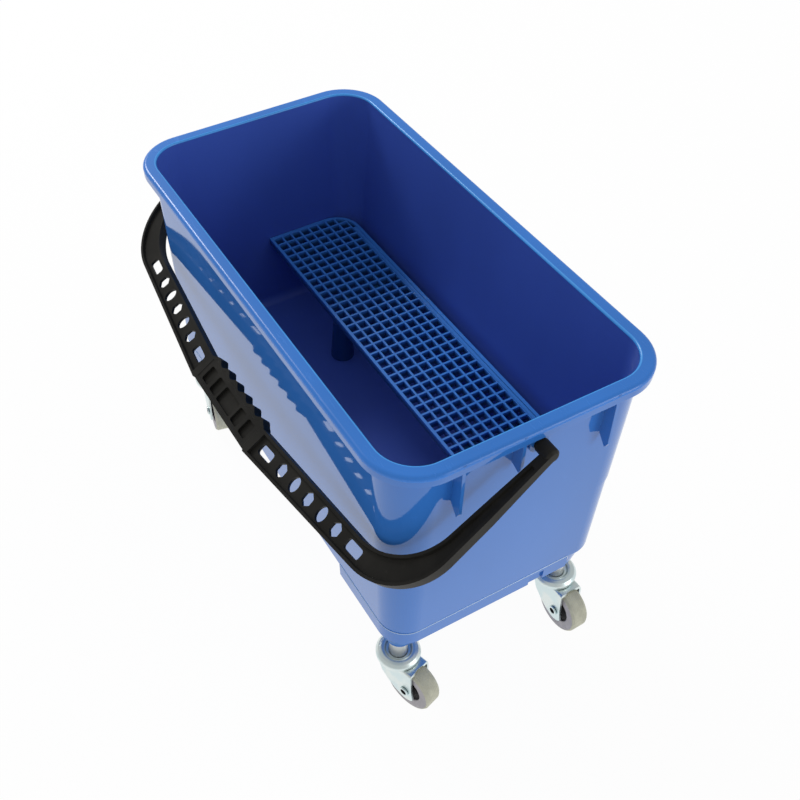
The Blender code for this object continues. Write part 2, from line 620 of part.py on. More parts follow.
# Caster pieces, on the swivel axis, trailing along +X, ground at z = 0
def fork():
    half = FORK_WIDTH / 2
    inside = half - FORK_SHEET
    bend = 1.5 * MM
    section = [(-half, 0), (-inside, 0), (-inside, CROWN_UNDER), (inside, CROWN_UNDER), (inside, 0),
               (half, 0), (half, CROWN_TOP - bend), (half - bend, CROWN_TOP), (bend - half, CROWN_TOP),
               (-half, CROWN_TOP - bend)]
    length = TRAIL + WHEEL_RADIUS
    # the section stands in YZ and runs along X
    stand = Matrix(((0, 0, 1, -length / 2), (1, 0, 0, 0), (0, 1, 0, 0), (0, 0, 0, 1)))
    channel = prism(section, 1.5 * length, stand)
    tip = 0.47 * WHEEL_RADIUS
    front = TRAIL + 0.24 * WHEEL_RADIUS
    back = -0.53 * WHEEL_RADIUS
    outline = [(back, CROWN_TOP + FORK_SHEET), (back, CROWN_TOP - 0.4 * WHEEL_RADIUS),
               (0.62 * back, 1.2 * WHEEL_RADIUS), (0.1 * TRAIL, 0.82 * WHEEL_RADIUS),
               (TRAIL - 0.9 * tip, WHEEL_RADIUS - 0.75 * tip)]
    outline += arc(TRAIL, WHEEL_RADIUS, tip, 240, 325, 3)
    outline += [(front + 0.12 * tip, 1.25 * WHEEL_RADIUS), (front, CROWN_TOP + FORK_SHEET)]
    flat = Matrix(((1, 0, 0, 0), (0, 0, -1, FORK_WIDTH), (0, 1, 0, 0), (0, 0, 0, 1)))
    made = combine(channel, [prism(outline, 2 * FORK_WIDTH, flat)], "INTERSECT")
    made = combine(made, [cylinder(TRACK_RADIUS, CROWN_TOP - 0.4 * FORK_SHEET, TRACK_TOP, 16)], "UNION")
    side = Matrix.Translation((TRAIL, 0, WHEEL_RADIUS)) @ Matrix.Rotation(math.pi / 2, 4, "X")
    holes = [cylinder(KINGPIN_RADIUS + CLEARANCE, 0.8 * CROWN_UNDER, 1.2 * TRACK_TOP, 12),
             cylinder(AXLE_RADIUS + CLEARANCE, -FORK_WIDTH, FORK_WIDTH, 8, side)]
    return combine(made, holes, "DIFFERENCE")


def caster_meshes():
    shoulder = TRACK_TOP + CLEARANCE
    shoulder_top = shoulder + 1.6 * MM
    cup_floor = shoulder_top + CLEARANCE
    head_top = CROWN_UNDER - CLEARANCE
    stem_top = BASE_HEIGHT - 0.4 * WALL - CLEARANCE
    shoulder_radius = 0.5 * (STEM_RADIUS + TRACK_RADIUS) - 1.5 * MM
    stem = turned([(0, stem_top), (STEM_RADIUS, stem_top), (STEM_RADIUS, shoulder_top),
                   (shoulder_radius, shoulder_top), (shoulder_radius, shoulder), (KINGPIN_RADIUS, shoulder),
                   (KINGPIN_RADIUS, head_top), (HEAD_RADIUS, head_top), (HEAD_RADIUS, head_top - HEAD_HEIGHT),
                   (0, head_top - HEAD_HEIGHT)], 12, closed=False)
    bore = STEM_RADIUS + CLEARANCE
    lip = TRACK_TOP - 0.5 * TRACK_HEIGHT
    crest = lip + CUP_HEIGHT
    sheet = 1.6 * MM
    cup = turned([(CUP_RADIUS - 0.6 * MM, lip), (CUP_RADIUS, lip + 0.45 * CUP_HEIGHT),
                  (CUP_RADIUS - 2.6 * MM, crest - 1.6 * MM), (CUP_RADIUS - 6.2 * MM, crest),
                  (bore + 3.6 * MM, crest - 0.7 * MM), (bore + 2.8 * MM, cup_floor + sheet),
                  (bore, cup_floor + sheet), (bore, cup_floor), (bore + 4.2 * MM, cup_floor),
                  (CUP_RADIUS - 5.2 * MM, crest - 1.8 * sheet), (CUP_RADIUS - 2.0 * MM, lip)],
                 14, closed=True)
    reach = FORK_WIDTH / 2 + CLEARANCE
    end = reach + RIVET_HEIGHT
    axle = turned([(0, end), (RIVET_RADIUS, end), (RIVET_RADIUS, reach), (AXLE_RADIUS, reach),
                   (AXLE_RADIUS, -reach), (RIVET_RADIUS, -reach), (RIVET_RADIUS, -end), (0, -end)],
                  8, closed=False)
    hub = FORK_WIDTH / 2 - FORK_SHEET - CLEARANCE
    core_bore = AXLE_RADIUS + CLEARANCE
    rim = 0.46 * TYRE_WIDTH
    core = turned([(core_bore, hub), (0.5 * CORE_RADIUS, hub), (0.62 * CORE_RADIUS, 0.8 * rim),
                   (CORE_RADIUS, rim), (CORE_RADIUS, -rim), (0.62 * CORE_RADIUS, -0.8 * rim),
                   (0.5 * CORE_RADIUS, -hub), (core_bore, -hub)], 12, closed=True)
    seat = CORE_RADIUS + CLEARANCE
    wide = TYRE_WIDTH / 2
    tyre = turned([(seat, 0.94 * wide), (0.94 * WHEEL_RADIUS, wide), (WHEEL_RADIUS, 0.76 * wide),
                   (WHEEL_RADIUS, -0.76 * wide), (0.94 * WHEEL_RADIUS, -wide), (seat, -0.94 * wide)],
                  20, closed=True)
    return {"stem": stem, "cup": cup, "fork": fork(), "axle": axle, "wheel_core": core, "tyre": tyre}


blue = material("blue_polypropylene", (0.025, 0.13, 0.52), 0.18)
grid_blue = material("grid_polypropylene", (0.03, 0.14, 0.50), 0.32)
black = material("black_polypropylene", (0.030, 0.029, 0.026), 0.42)
zinc = material("zinc_plated_steel", (0.62, 0.66, 0.67), 0.22, 1.0)
steel = material("bright_steel", (0.55, 0.55, 0.53), 0.20, 1.0)
hub_black = material("black_nylon", (0.02, 0.02, 0.021), 0.45)
rubber = material("grey_rubber", (0.35, 0.35, 0.29), 0.60)

bucket = empty("bucket", None)
body = place("bucket_body", tub(), blue, bucket)
place("drain_grid", drain_grid(), grid_blue, bucket, (GRID_FAR, GRID_FRONT, GRID_HEIGHT))
bail = place("handle", handle(), black, bucket, (0, 0, PIVOT_HEIGHT), (HANG_ANGLE, 0, 0))

meshes = caster_meshes()
looks = {"stem": steel, "cup": zinc, "fork": zinc, "axle": zinc, "wheel_core": hub_black, "tyre": rubber}
spots = ((1, -1), (1, 1), (-1, -1), (-1, 1))
for number, (spot, yaw) in enumerate(zip(spots, CASTER_YAWS), start=1):
    name = "caster_%d_" % number
    post = empty(name + "post", bucket, (spot[0] * CASTER_X, spot[1] * CASTER_Y, 0))
    swivel = empty(name + "swivel", post, (0, 0, 0), (0, 0, math.radians(yaw)))
    hub = empty(name + "hub", swivel, (TRAIL, 0, WHEEL_RADIUS), (math.pi / 2, 0, 0))
    for piece in ("stem", "cup"):
        place(name + piece, meshes[piece], looks[piece], post)
    place(name + "fork", meshes["fork"], looks["fork"], swivel)
    for piece in ("axle", "wheel_core", "tyre"):
        place(name + piece, meshes[piece], looks[piece], hub)

# centre the bounding box over the origin: the hanging handle reaches out on -Y, the rim on +Y
bpy.context.view_layer.update()
handle_reach = min((bail.matrix_world @ v.co).y for v in bail.data.vertices)
rim_reach = max((body.matrix_world @ v.co).y for v in body.data.vertices)
bucket.location.y = -(handle_reach + rim_reach) / 2
bpy.context.view_layer.update()
print("shift of the tub's middle along Y: %.6f m" % bucket.location.y)
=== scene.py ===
"""Flat-mop bucket: glossy tub, drain grid, bail handle and swivel casters, around the packed part."""
import json
import math
from contextlib import contextmanager

import bmesh
import bpy
from mathutils import Matrix, Vector


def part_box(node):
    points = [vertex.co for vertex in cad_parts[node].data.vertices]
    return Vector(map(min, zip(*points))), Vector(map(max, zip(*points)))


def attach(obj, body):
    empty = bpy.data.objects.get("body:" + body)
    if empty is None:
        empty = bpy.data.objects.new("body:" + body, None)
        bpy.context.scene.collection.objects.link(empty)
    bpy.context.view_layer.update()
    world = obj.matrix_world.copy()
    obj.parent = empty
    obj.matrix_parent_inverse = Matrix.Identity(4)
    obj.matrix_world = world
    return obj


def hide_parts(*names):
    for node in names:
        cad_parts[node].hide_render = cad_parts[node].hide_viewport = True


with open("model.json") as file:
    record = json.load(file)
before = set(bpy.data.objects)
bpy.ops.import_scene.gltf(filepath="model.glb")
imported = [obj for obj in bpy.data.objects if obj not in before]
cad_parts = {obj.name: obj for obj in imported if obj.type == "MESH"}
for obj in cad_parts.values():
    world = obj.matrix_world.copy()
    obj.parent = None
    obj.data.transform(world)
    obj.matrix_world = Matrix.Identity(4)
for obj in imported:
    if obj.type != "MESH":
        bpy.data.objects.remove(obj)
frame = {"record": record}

bl_info = {
    "name": "Flat-mop bucket",
    "version": (1, 0, 0),
    "blender": (4, 5, 0),
    "location": "View3D > Sidebar > Bucket",
    "description": "Models the tub, drain grid, bail handle and casters of a flat-mop bucket",
    "category": "Add Mesh",
}

MM = 0.001
TINY = 0.001 * MM
DOUBLES = 5 * TINY                     # points this close are one, after a boolean
CRUMBS = 10 * TINY                     # edges shorter than this are dropped, after a boolean
NEARLY_STRAIGHT = math.radians(172)    # corners wider than this aren't rounded
CORNER_SHARE = 0.45                    # most of a side that one rounded corner takes
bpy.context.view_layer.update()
JOINTS = {joint["name"]: joint for joint in frame["record"]["behaviour"]["joints"]}
PIVOT = Vector(JOINTS["handle_swing"]["pos_m"])
MIDDLE = PIVOT.y                       # the tub's middle plane
CASTERS = range(1, 5)


# Properties that a user would change
def length(name, description, millimetres):
    return bpy.props.FloatProperty(name=name, description=description, default=millimetres * MM,
                                   min=0.0, unit="LENGTH", precision=4)


def ratio(name, description, default):
    return bpy.props.FloatProperty(name=name, description=description, default=default, precision=4)


def count(name, description, default):
    return bpy.props.IntProperty(name=name, description=description, default=default, min=1)


def turn(name, description, degrees):
    return bpy.props.FloatProperty(name=name, description=description, default=math.radians(degrees),
                                   subtype="ANGLE")


def colour(name, description, value):
    return bpy.props.FloatVectorProperty(name=name, description=description, default=value, size=3,
                                         min=0.0, max=1.0, subtype="COLOR")


class BucketTub(bpy.types.PropertyGroup):
    """Sizes of the tub and its feet"""
    rim_height: length("Rim height", "Top of the rim above the ground", 354.0)
    opening_length: length("Opening length", "Clear length at the rim", 471.0)
    opening_width: length("Opening width", "Clear width at the rim", 235.5)
    corner: length("Corner radius", "Inner corner radius", 33.5)
    draft: ratio("Draft", "Inward lean of every wall per unit of height", 0.0436)
    wall: length("Wall", "Wall thickness", 3.5)
    floor_height: length("Floor height", "Inside floor above the ground", 117.5)
    floor_fillet: length("Floor fillet", "Radius between the walls and the floor", 9.0)
    bottom_round: length("Bottom round", "Radius under the walls", 7.0)
    rim_width: length("Rim width", "Rim outside the opening", 13.2)
    rim_thickness: length("Rim thickness", "Thickness of the rim's top", 3.2)
    rim_round: length("Rim round", "Radius on the rim's outer edge", 4.0)
    lip_round: length("Lip round", "Radius on the rim's inner edge", 1.8)
    skirt_depth: length("Skirt depth", "Turned-down edge below the rim's top", 11.0)
    skirt_thickness: length("Skirt thickness", "Thickness of the turned-down edge", 2.4)
    wall_step: length("Wall step", "Step in the walls at mid height", 0.8)
    step_out: length("Outer step height", "Height of the step outside", 218.5)
    step_in: length("Inner step height", "Height of the step inside", 226.0)
    foot_height: length("Foot height", "Underside of the feet", 105.0)
    foot_length: length("Foot length", "Length of each end foot", 94.0)
    foot_wall: length("Foot wall", "Wall of the feet", 3.0)
    foot_inset: length("Foot inset", "Set-in of the feet on the far side", 14.0)
    foot_radius: length("Foot radius", "Corner radius of the set-in foot", 42.0)
    band_top: length("Band top", "The feet lap this high up the wall", 122.0)
    band_proud: length("Band proud", "The lap stands out from the wall", 0.6)
    band_end: length("Band end", "The lap stops here on the far side", 74.0)
    notch_width: length("Notch width", "Notch in the end feet", 16.0)
    notch_height: length("Notch height", "Height of the notch", 13.0)
    notch_centre: length("Notch place", "Notch from the middle plane", 40.0)
    rib_thickness: length("Rib thickness", "Ribs under the rim", 3.0)
    rib_offset: length("Rib place", "Ribs from the middle plane", 70.0)
    rib_drop: length("Rib drop", "Ribs below the rim's top", 63.0)
    rib_rake: length("Rib rake", "Slope of the ribs' lower edge", 13.0)
    stop_offset: length("Stop place", "Stop rib from the middle plane", 16.5)
    stop_drop: length("Stop drop", "Stop rib below the rim's top", 42.0)
    pad_radius: length("Pad radius", "Pivot pads", 9.5)
    pad_reach: length("Pad reach", "Pivot pads off the wall", 7.0)
    pivot_depth: length("Pivot depth", "Depth of the pivot bores", 6.6)
    socket_radius: length("Socket radius", "Caster sockets at their foot", 12.0)
    socket_flare: length("Socket flare", "Caster sockets at the top", 17.5)
    socket_height: length("Socket height", "Underside of the sockets", 82.0)
    corner_steps: count("Corner steps", "Facets in each rounded corner", 14)


class BucketGrid(bpy.types.PropertyGroup):
    """Sizes of the drain grid"""
    height: length("Height", "Top of the ribs above the ground", 205.0)
    rows: count("Rows", "Openings along the tub", 38)
    columns: count("Columns", "Openings across the tub", 8)
    rib: length("Rib", "Rib width", 2.1)
    depth: length("Depth", "Rib depth", 8.0)
    border: length("Border", "Border at both ends", 3.6)
    back_border: length("Back border", "Border along the far wall", 8.0)
    corner: length("Corner radius", "Back corners", 28.0)
    leg_top: length("Leg top", "Leg radius under the ribs", 8.0)
    leg_foot: length("Leg foot", "Leg radius on the floor", 12.5)
    leg_wall: length("Leg wall", "Wall of the hollow legs", 2.0)


class BucketHandle(bpy.types.PropertyGroup):
    """Sizes of the bail handle"""
    hang: turn("Hang angle", "Fall of the handle at rest", 35.5)
    arm_gap: length("Arm gap", "Arm off the rim's skirt", 3.6)
    arm_width: length("Arm width", "Width of the arms at the corners", 14.7)
    taper_length: length("Taper length", "The arms grow slimmer from here to the pivot", 90.0)
    taper_out: length("Outer taper", "The arms' outer edge comes in", 5.0)
    taper_in: length("Inner taper", "The arms' inner edge goes out", 1.5)
    thin_end: ratio("Thin end", "Thickness at the pivot as a share of the full thickness", 0.66)
    boss_radius: length("Knuckle radius", "Round end at the pivot", 6.4)
    thickness: length("Thickness", "Depth of the section", 11.0)
    reach: length("Reach", "Pivot to the outer edge beside the grip", 195.3)
    width: length("Width", "Width of the long side beside the grip", 27.3)
    outer_bow: ratio("Outer bow", "Fall of the outer edge towards the corners", 0.135)
    inner_bow: ratio("Inner bow", "Fall of the inner edge towards the corners", 0.100)
    outer_corner: length("Outer corner", "Outer corner radius", 62.0)
    inner_corner: length("Inner corner", "Inner corner radius", 60.0)
    flange: length("Flange", "Width of the raised edges", 2.6)
    channel: length("Channel", "Recess in the top", 3.4)
    hollow: length("Hollow", "Recess in the underside", 4.4)
    grip_length: length("Grip length", "Length of the grip", 104.0)
    grip_step: length("Grip step", "The grip's outer edge steps in", 1.2)
    grip_swell: length("Grip swell", "The grip stands in towards the tub", 1.0)
    grooves: count("Finger grooves", "Grooves along the grip", 6)
    groove_depth: length("Groove depth", "Half depth of the finger grooves", 2.0)
    pocket_depth: length("Pocket depth", "Depth of the grip's pockets", 3.0)
    hole_count: count("Cut-outs", "Hexagons and ellipses on each side", 5)
    hole_start: length("First cut-out", "From the handle's middle", 96.2)
    hole_pitch: length("Cut-out pitch", "Spacing of the cut-outs", 20.1)
    hole_length: length("Cut-out length", "Across the long side", 14.6)
    hole_width: length("Cut-out width", "Along the long side", 10.6)
    slot_gap: length("Slot gap", "Outer cut-outs to the slots", 24.5)
    slot_length: length("Slot length", "Along the long side", 18.6)
    slot_width: length("Slot width", "Across the long side", 9.8)
    stub_radius: length("Stub radius", "Pivot stubs", 5.2)


class BucketCaster(bpy.types.PropertyGroup):
    """Sizes of the casters"""
    wheel_radius: length("Wheel radius", "Outside of the tyre", 25.0)
    tyre_width: length("Tyre width", "Width of the tyre", 18.3)
    core_radius: length("Core radius", "Seat of the tyre", 14.0)
    trail: length("Trail", "Wheel behind the swivel axis", 19.8)
    fork_width: length("Fork width", "Over the fork's legs", 24.7)
    sheet: length("Sheet", "Fork sheet thickness", 2.0)
    crown_gap: length("Crown gap", "Tyre to the crown", 1.4)
    track_radius: length("Track radius", "Raised race on the crown", 17.0)
    track_height: length("Track height", "Raised race on the crown", 2.0)
    cup_radius: length("Cup radius", "Outside of the race cup", 21.0)
    cup_height: length("Cup height", "Height of the race cup", 8.6)
    stem_radius: length("Stem radius", "Caster stem", 8.5)
    kingpin: length("Kingpin radius", "Pin through the fork", 6.0)
    head_radius: length("Head radius", "Riveted head of the pin", 7.5)
    head_height: length("Head height", "Riveted head of the pin", 2.7)
    axle: length("Axle radius", "Wheel axle", 3.0)
    rivet_radius: length("Rivet radius", "Heads of the axle", 4.8)
    rivet_height: length("Rivet height", "Heads of the axle", 1.7)
    clearance: length("Clearance", "Running gap", 0.3)


class BucketFinish(bpy.types.PropertyGroup):
    """Colours of the finishes"""
    tub_blue: colour("Tub blue", "Glossy moulded plastic", (0.032, 0.160, 0.520))
    # painted shade: the inside of the tub takes a darker copy of the tub's blue
    inner_shaded_blue: colour("Inner shaded blue", "Satin inside of the tub, darkened as painted shade", (0.050, 0.108, 0.480))
    # painted highlight: a lighter, more saturated blue along the rim's inner lip
    lip_painted_highlight: colour("Lip highlight blue", "Painted highlight on the thin inner edge of the rim", (0.045, 0.310, 0.800))
    # painted light: the rim takes a lighter copy of the tub's blue
    rim_lit_blue: colour("Rim blue", "Rolled rim, lightened as painted light", (0.028, 0.185, 0.620))
    # painted highlight: a light blue for the light caught on the top edge of the band round the feet
    painted_highlight_blue: colour("Painted highlight blue", "Painted highlight on the top edge of the band round the feet", (0.42, 0.57, 0.80))
    grid_blue: colour("Grid blue", "Satin moulded plastic", (0.045, 0.210, 0.640))
    handle_black: colour("Handle black", "Satin moulded plastic", (0.020, 0.019, 0.0165))
    zinc: colour("Zinc", "Bright zinc plating", (0.64, 0.75, 0.76))
    steel: colour("Steel", "Bright turned steel", (0.74, 0.75, 0.74))
    # also used as painted shade in the axles' hollow ends
    hub_black: colour("Hub black", "Matt nylon", (0.018, 0.018, 0.020))
    tread_grey: colour("Tread grey", "Rubber on the tread", (0.47, 0.47, 0.375))
    side_grey: colour("Side grey", "Rubber on the sides", (0.40, 0.385, 0.41))


class BucketStage(bpy.types.PropertyGroup):
    """Camera and studio"""
    lens: ratio("Lens", "Focal length in millimetres on a 36 mm sensor", 49.65)
    shift_x: ratio("Shift X", "Framing of the picture", 0.0959)
    shift_y: ratio("Shift Y", "Framing of the picture", -0.0667)
    sky: ratio("Sky", "Level of the light from all round", 0.57)
    glow: ratio("Table glow", "Light from the white table itself", 0.96)
    key: ratio("Key light", "Power of the softbox past the far end in watts", 78.0)
    fill: ratio("Fill light", "Power of the low softbox past the near end in watts", 15.0)


GROUPS = {"bucket_tub": BucketTub, "bucket_grid": BucketGrid, "bucket_handle": BucketHandle,
          "bucket_caster": BucketCaster, "bucket_finish": BucketFinish, "bucket_stage": BucketStage}


# Modelling by hand: primitives, edit mode, modifiers
def only(piece):
    """Make one object the whole selection."""
    bpy.ops.object.select_all(action="DESELECT")
    piece.select_set(True)
    bpy.context.view_layer.objects.active = piece


def add(kind, name, **settings):
    bpy.ops.object.select_all(action="DESELECT")
    getattr(bpy.ops.mesh, "primitive_%s_add" % kind)(**settings)
    made = bpy.context.object
    made.name = name
    return made


@contextmanager
def editing(piece, mode="FACE"):
    """Edit mode on one piece, with all of it selected."""
    only(piece)
    bpy.ops.object.mode_set(mode="EDIT")
    bpy.ops.mesh.select_mode(type=mode)
    bpy.ops.mesh.select_all(action="SELECT")
    yield
    bpy.ops.object.mode_set(mode="OBJECT")


def pick_faces(piece, test):
    """Select the faces whose middle and normal pass the test."""
    bpy.ops.mesh.select_all(action="DESELECT")
    bm = bmesh.from_edit_mesh(piece.data)
    for face in bm.faces:
        face.select_set(bool(test(face.calc_center_median(), face.normal)))
    bmesh.update_edit_mesh(piece.data)


def apply_modifier(piece, kind, **settings):
    only(piece)
    made = piece.modifiers.new(kind.lower(), kind)
    for key, value in settings.items():
        setattr(made, key, value)
    bpy.ops.object.modifier_apply(modifier=made.name)


def recalculated(piece):
    """Merge doubles and point the faces outwards."""
    with editing(piece, "VERT"):
        bpy.ops.mesh.remove_doubles(threshold=TINY)
        bpy.ops.mesh.normals_make_consistent(inside=False)
    return piece


def joined(first, *others):
    only(first)
    for piece in others:
        piece.select_set(True)
    bpy.ops.object.join()
    return recalculated(first)


def boolean(piece, operation, tools):
    """Unite with, or cut by, all the tools at once, and leave a clean mesh."""
    shelf = bpy.data.collections.new("tools")
    bpy.context.scene.collection.children.link(shelf)
    for tool in tools:
        shelf.objects.link(tool)
    apply_modifier(piece, "BOOLEAN", operation=operation, solver="EXACT", operand_type="COLLECTION",
                   collection=shelf)
    for tool in tools:
        bpy.data.objects.remove(tool, do_unlink=True)
    bpy.data.collections.remove(shelf)
    with editing(piece, "VERT"):
        bpy.ops.mesh.remove_doubles(threshold=DOUBLES)
        bpy.ops.mesh.dissolve_degenerate(threshold=CRUMBS)
        bpy.ops.mesh.select_all(action="DESELECT")
        bm = bmesh.from_edit_mesh(piece.data)
        # a point on one edge between two faces would give two triangles back to back
        for vert in bm.verts:
            vert.select_set(len(vert.link_edges) == 2)
        bmesh.update_edit_mesh(piece.data)
        bpy.ops.mesh.dissolve_verts()
    return piece


def meet(piece, tool):
    """Keep what two solids have in common."""
    apply_modifier(piece, "BOOLEAN", operation="INTERSECT", solver="EXACT", object=tool)
    bpy.data.objects.remove(tool, do_unlink=True)
    return recalculated(piece)


def bevelled(piece, width, segments=2, degrees=40):
    apply_modifier(piece, "BEVEL", width=width, segments=segments, limit_method="ANGLE",
                   angle_limit=math.radians(degrees))


def smoothed(piece, degrees=30):
    """Smooth shading with flat faces kept flat."""
    only(piece)
    bpy.ops.object.shade_smooth_by_angle(angle=math.radians(degrees))
    apply_modifier(piece, "WEIGHTED_NORMAL", mode="FACE_AREA", weight=80, keep_sharp=True)
    return piece


def placed(piece, matrix):
    """Move a piece and write its place into its mesh."""
    piece.matrix_world = matrix @ piece.matrix_world
    only(piece)
    bpy.ops.object.transform_apply(location=True, rotation=True, scale=True)
    return piece


def copied(piece, name):
    only(piece)
    bpy.ops.object.duplicate(linked=False)
    made = bpy.context.object
    made.name = name
    return made


def block(name, low, high):
    """Box between two corners."""
    low, high = Vector(low), Vector(high)
    made = add("cube", name, size=1.0, location=(low + high) / 2)
    made.scale = high - low
    bpy.ops.object.transform_apply(location=True, rotation=True, scale=True)
    return made


def drum(name, radius, low, high, steps, matrix):
    made = add("cylinder", name, radius=radius, depth=high - low, vertices=steps,
               location=(0.0, 0.0, (low + high) / 2))
    return placed(made, matrix)


def eased(points, radius, steps=4, closed=False):
    """Round the corners of a line of (a, b) points."""
    points = [Vector(p) for p in points]
    rounded = []
    for k, point in enumerate(points):
        if not closed and k in (0, len(points) - 1):
            rounded.append(point)
            continue
        before, after = points[k - 1] - point, points[(k + 1) % len(points)] - point
        corner = before.angle(after)
        if corner > NEARLY_STRAIGHT:
            rounded.append(point)
            continue
        reach = min(radius / math.tan(corner / 2), CORNER_SHARE * before.length, CORNER_SHARE * after.length)
        first, last = point + reach * before.normalized(), point + reach * after.normalized()
        for n in range(steps + 1):
            t = n / steps
            rounded.append((1 - t) ** 2 * first + 2 * t * (1 - t) * point + t ** 2 * last)
    return rounded


def drawn(name, points):
    """A line of points, drawn by extruding one vertex."""
    piece = add("plane", name, size=MM)
    only(piece)
    bpy.ops.object.mode_set(mode="EDIT")
    bpy.ops.mesh.select_mode(type="VERT")
    bpy.ops.mesh.select_all(action="SELECT")
    bpy.ops.mesh.merge(type="CENTER")
    bpy.ops.transform.translate(value=points[0])
    for here, there in zip(points, points[1:]):
        bpy.ops.mesh.extrude_vertices_move(TRANSFORM_OT_translate={"value": there - here})
    bpy.ops.mesh.select_all(action="SELECT")
    return piece


def turned(name, profile, steps, closed=False):
    """Profile of (radius, height) pairs spun round the Z axis."""
    points = [Vector((p[0], 0.0, p[1])) for p in profile]
    piece = drawn(name, points + points[:1] if closed else points)
    bpy.ops.mesh.spin(steps=steps, angle=math.tau, center=(0, 0, 0), axis=(0, 0, 1))
    bpy.ops.object.mode_set(mode="OBJECT")
    return recalculated(piece)


def prism(name, outline, low, high):
    """Closed outline in XY, filled and extruded between two heights."""
    piece = drawn(name, [Vector((p[0], p[1], low)) for p in outline])
    bpy.ops.mesh.edge_face_add()
    bpy.ops.mesh.extrude_region_move(TRANSFORM_OT_translate={"value": (0, 0, high - low)})
    bpy.ops.object.mode_set(mode="OBJECT")
    return recalculated(piece)


def rounded_plate(name, half_x, half_y, radius, z, centre_y, steps, facing=1):
    """Flat rectangle with bevelled corners, facing up or down."""
    plate = add("plane", name, size=2.0)
    with editing(plate, "VERT"):
        bpy.ops.transform.resize(value=(half_x, half_y, 1.0))
        bpy.ops.transform.translate(value=(0.0, centre_y, z))
        bpy.ops.mesh.bevel(offset=radius, segments=steps, affect="VERTICES", profile=0.5)
        if facing < 0:
            bpy.ops.mesh.select_all(action="SELECT")
            bpy.ops.mesh.flip_normals()
    return plate


def carried(plate, profile, facing=1):
    """Carry a plate's cap along (reach, height) pairs, by insets and straight extrusions."""
    with editing(plate):
        for (reach, z), (next_reach, next_z) in zip(profile, profile[1:]):
            inward, rise = reach - next_reach, next_z - z
            if inward > 0.1 * TINY:
                bpy.ops.mesh.inset(thickness=inward, depth=rise * facing, use_boundary=True,
                                   use_even_offset=True)
            else:
                bpy.ops.mesh.extrude_region_move(TRANSFORM_OT_translate={"value": (0, 0, rise)})
    return plate


def both_sides(half, between=()):
    """Profile that is the same above and below its middle."""
    return [*half, *between, *((radius, -height) for radius, height in reversed(half))]


def arc(centre_a, centre_b, radius, start, end, steps):
    angles = [math.radians(start + (end - start) * k / steps) for k in range(steps + 1)]
    return [(centre_a + radius * math.cos(t), centre_b + radius * math.sin(t)) for t in angles]


def delivered(piece, finish, body, nodes):
    """Give a finished piece its material and its body, and hide the CAD node that it stands for."""
    slots = piece.data.materials
    for index, material in enumerate(finish if isinstance(finish, tuple) else (finish,)):
        if index < len(slots):
            slots[index] = material
        else:
            slots.append(material)
    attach(piece, body)
    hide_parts(*nodes)


# Shader maths written as expressions
class Value:
    """A socket that takes part in arithmetic; each operation adds a Math node."""

    def __init__(self, finish, socket):
        self.finish, self.socket = finish, socket

    def maths(self, operation, first, second):
        return self.finish.node("ShaderNodeMath", {"operation": operation}, {0: first, 1: second})

    def __add__(self, other):
        return self.maths("ADD", self, other)

    def __sub__(self, other):
        return self.maths("SUBTRACT", self, other)

    def __rsub__(self, other):
        return self.maths("SUBTRACT", other, self)

    def __mul__(self, other):
        return self.maths("MULTIPLY", self, other)

    def over(self, low, high):
        """0 below low, 1 above high, a smooth step between."""
        return self.finish.node("ShaderNodeMapRange", {"interpolation_type": "SMOOTHSTEP"},
                                {"Value": self, "From Min": low, "From Max": high})

    __radd__ = __add__
    __rmul__ = __mul__


class Finish:
    """One material under construction."""

    def __init__(self, name):
        self.material = bpy.data.materials.new(name)
        self.material.use_nodes = True
        self.nodes, self.links = self.material.node_tree.nodes, self.material.node_tree.links
        self.shader = self.nodes["Principled BSDF"]
        self.place = self.node("ShaderNodeTexCoord", {}, {}, "Object")

    def node(self, kind, settings, inputs, output=0):
        made = self.nodes.new(kind)
        for key, value in settings.items():
            setattr(made, key, value)
        for key, value in inputs.items():
            self.feed(made.inputs[key], value)
        return Value(self, made.outputs[output])

    def feed(self, socket, value):
        if isinstance(value, Value):
            self.links.new(value.socket, socket)
        else:
            socket.default_value = value

    def set(self, **values):
        for key, value in values.items():
            self.feed(self.shader.inputs[key.replace("_", " ").title()], value)

    def noise(self, scale, detail=2.0, stretch=(1, 1, 1), roughness=0.5):
        at = self.node("ShaderNodeMapping", {}, {"Vector": self.place, "Scale": stretch})
        return self.node("ShaderNodeTexNoise", {}, {"Vector": at, "Scale": scale, "Detail": detail,
                                                    "Roughness": roughness})

    def cells(self, scale):
        return self.node("ShaderNodeTexVoronoi", {}, {"Vector": self.place, "Scale": scale})

    def height(self):
        """Height above the ground."""
        return self.node("ShaderNodeSeparateXYZ", {}, {"Vector": self.place}, "Z")

    def mix(self, share, first, second):
        first, second = ((*c, 1.0) if isinstance(c, tuple) else c for c in (first, second))
        return self.node("ShaderNodeMix", {"data_type": "RGBA"}, {0: share, 6: first, 7: second}, 2)

    def refract(self, index):
        self.shader.inputs["IOR"].default_value = index

    def bump(self, relief, strength, distance):
        return self.node("ShaderNodeBump", {}, {"Height": relief, "Strength": strength, "Distance": distance})


DUST = (0.30, 0.38, 0.52)
DUST_FADES = (114 * MM, 138 * MM)      # heights between which the dust on the tub ends
GRID_PAINTED_SHADE = 0.30                # share of the grid's colour that is left as painted shade down in its openings
BLACK_INDEX = 1.2                      # low, for a weak sheen


def shade(value, factor):
    """A colour made lighter or darker."""
    return tuple(min(1.0, channel * factor) for channel in value)


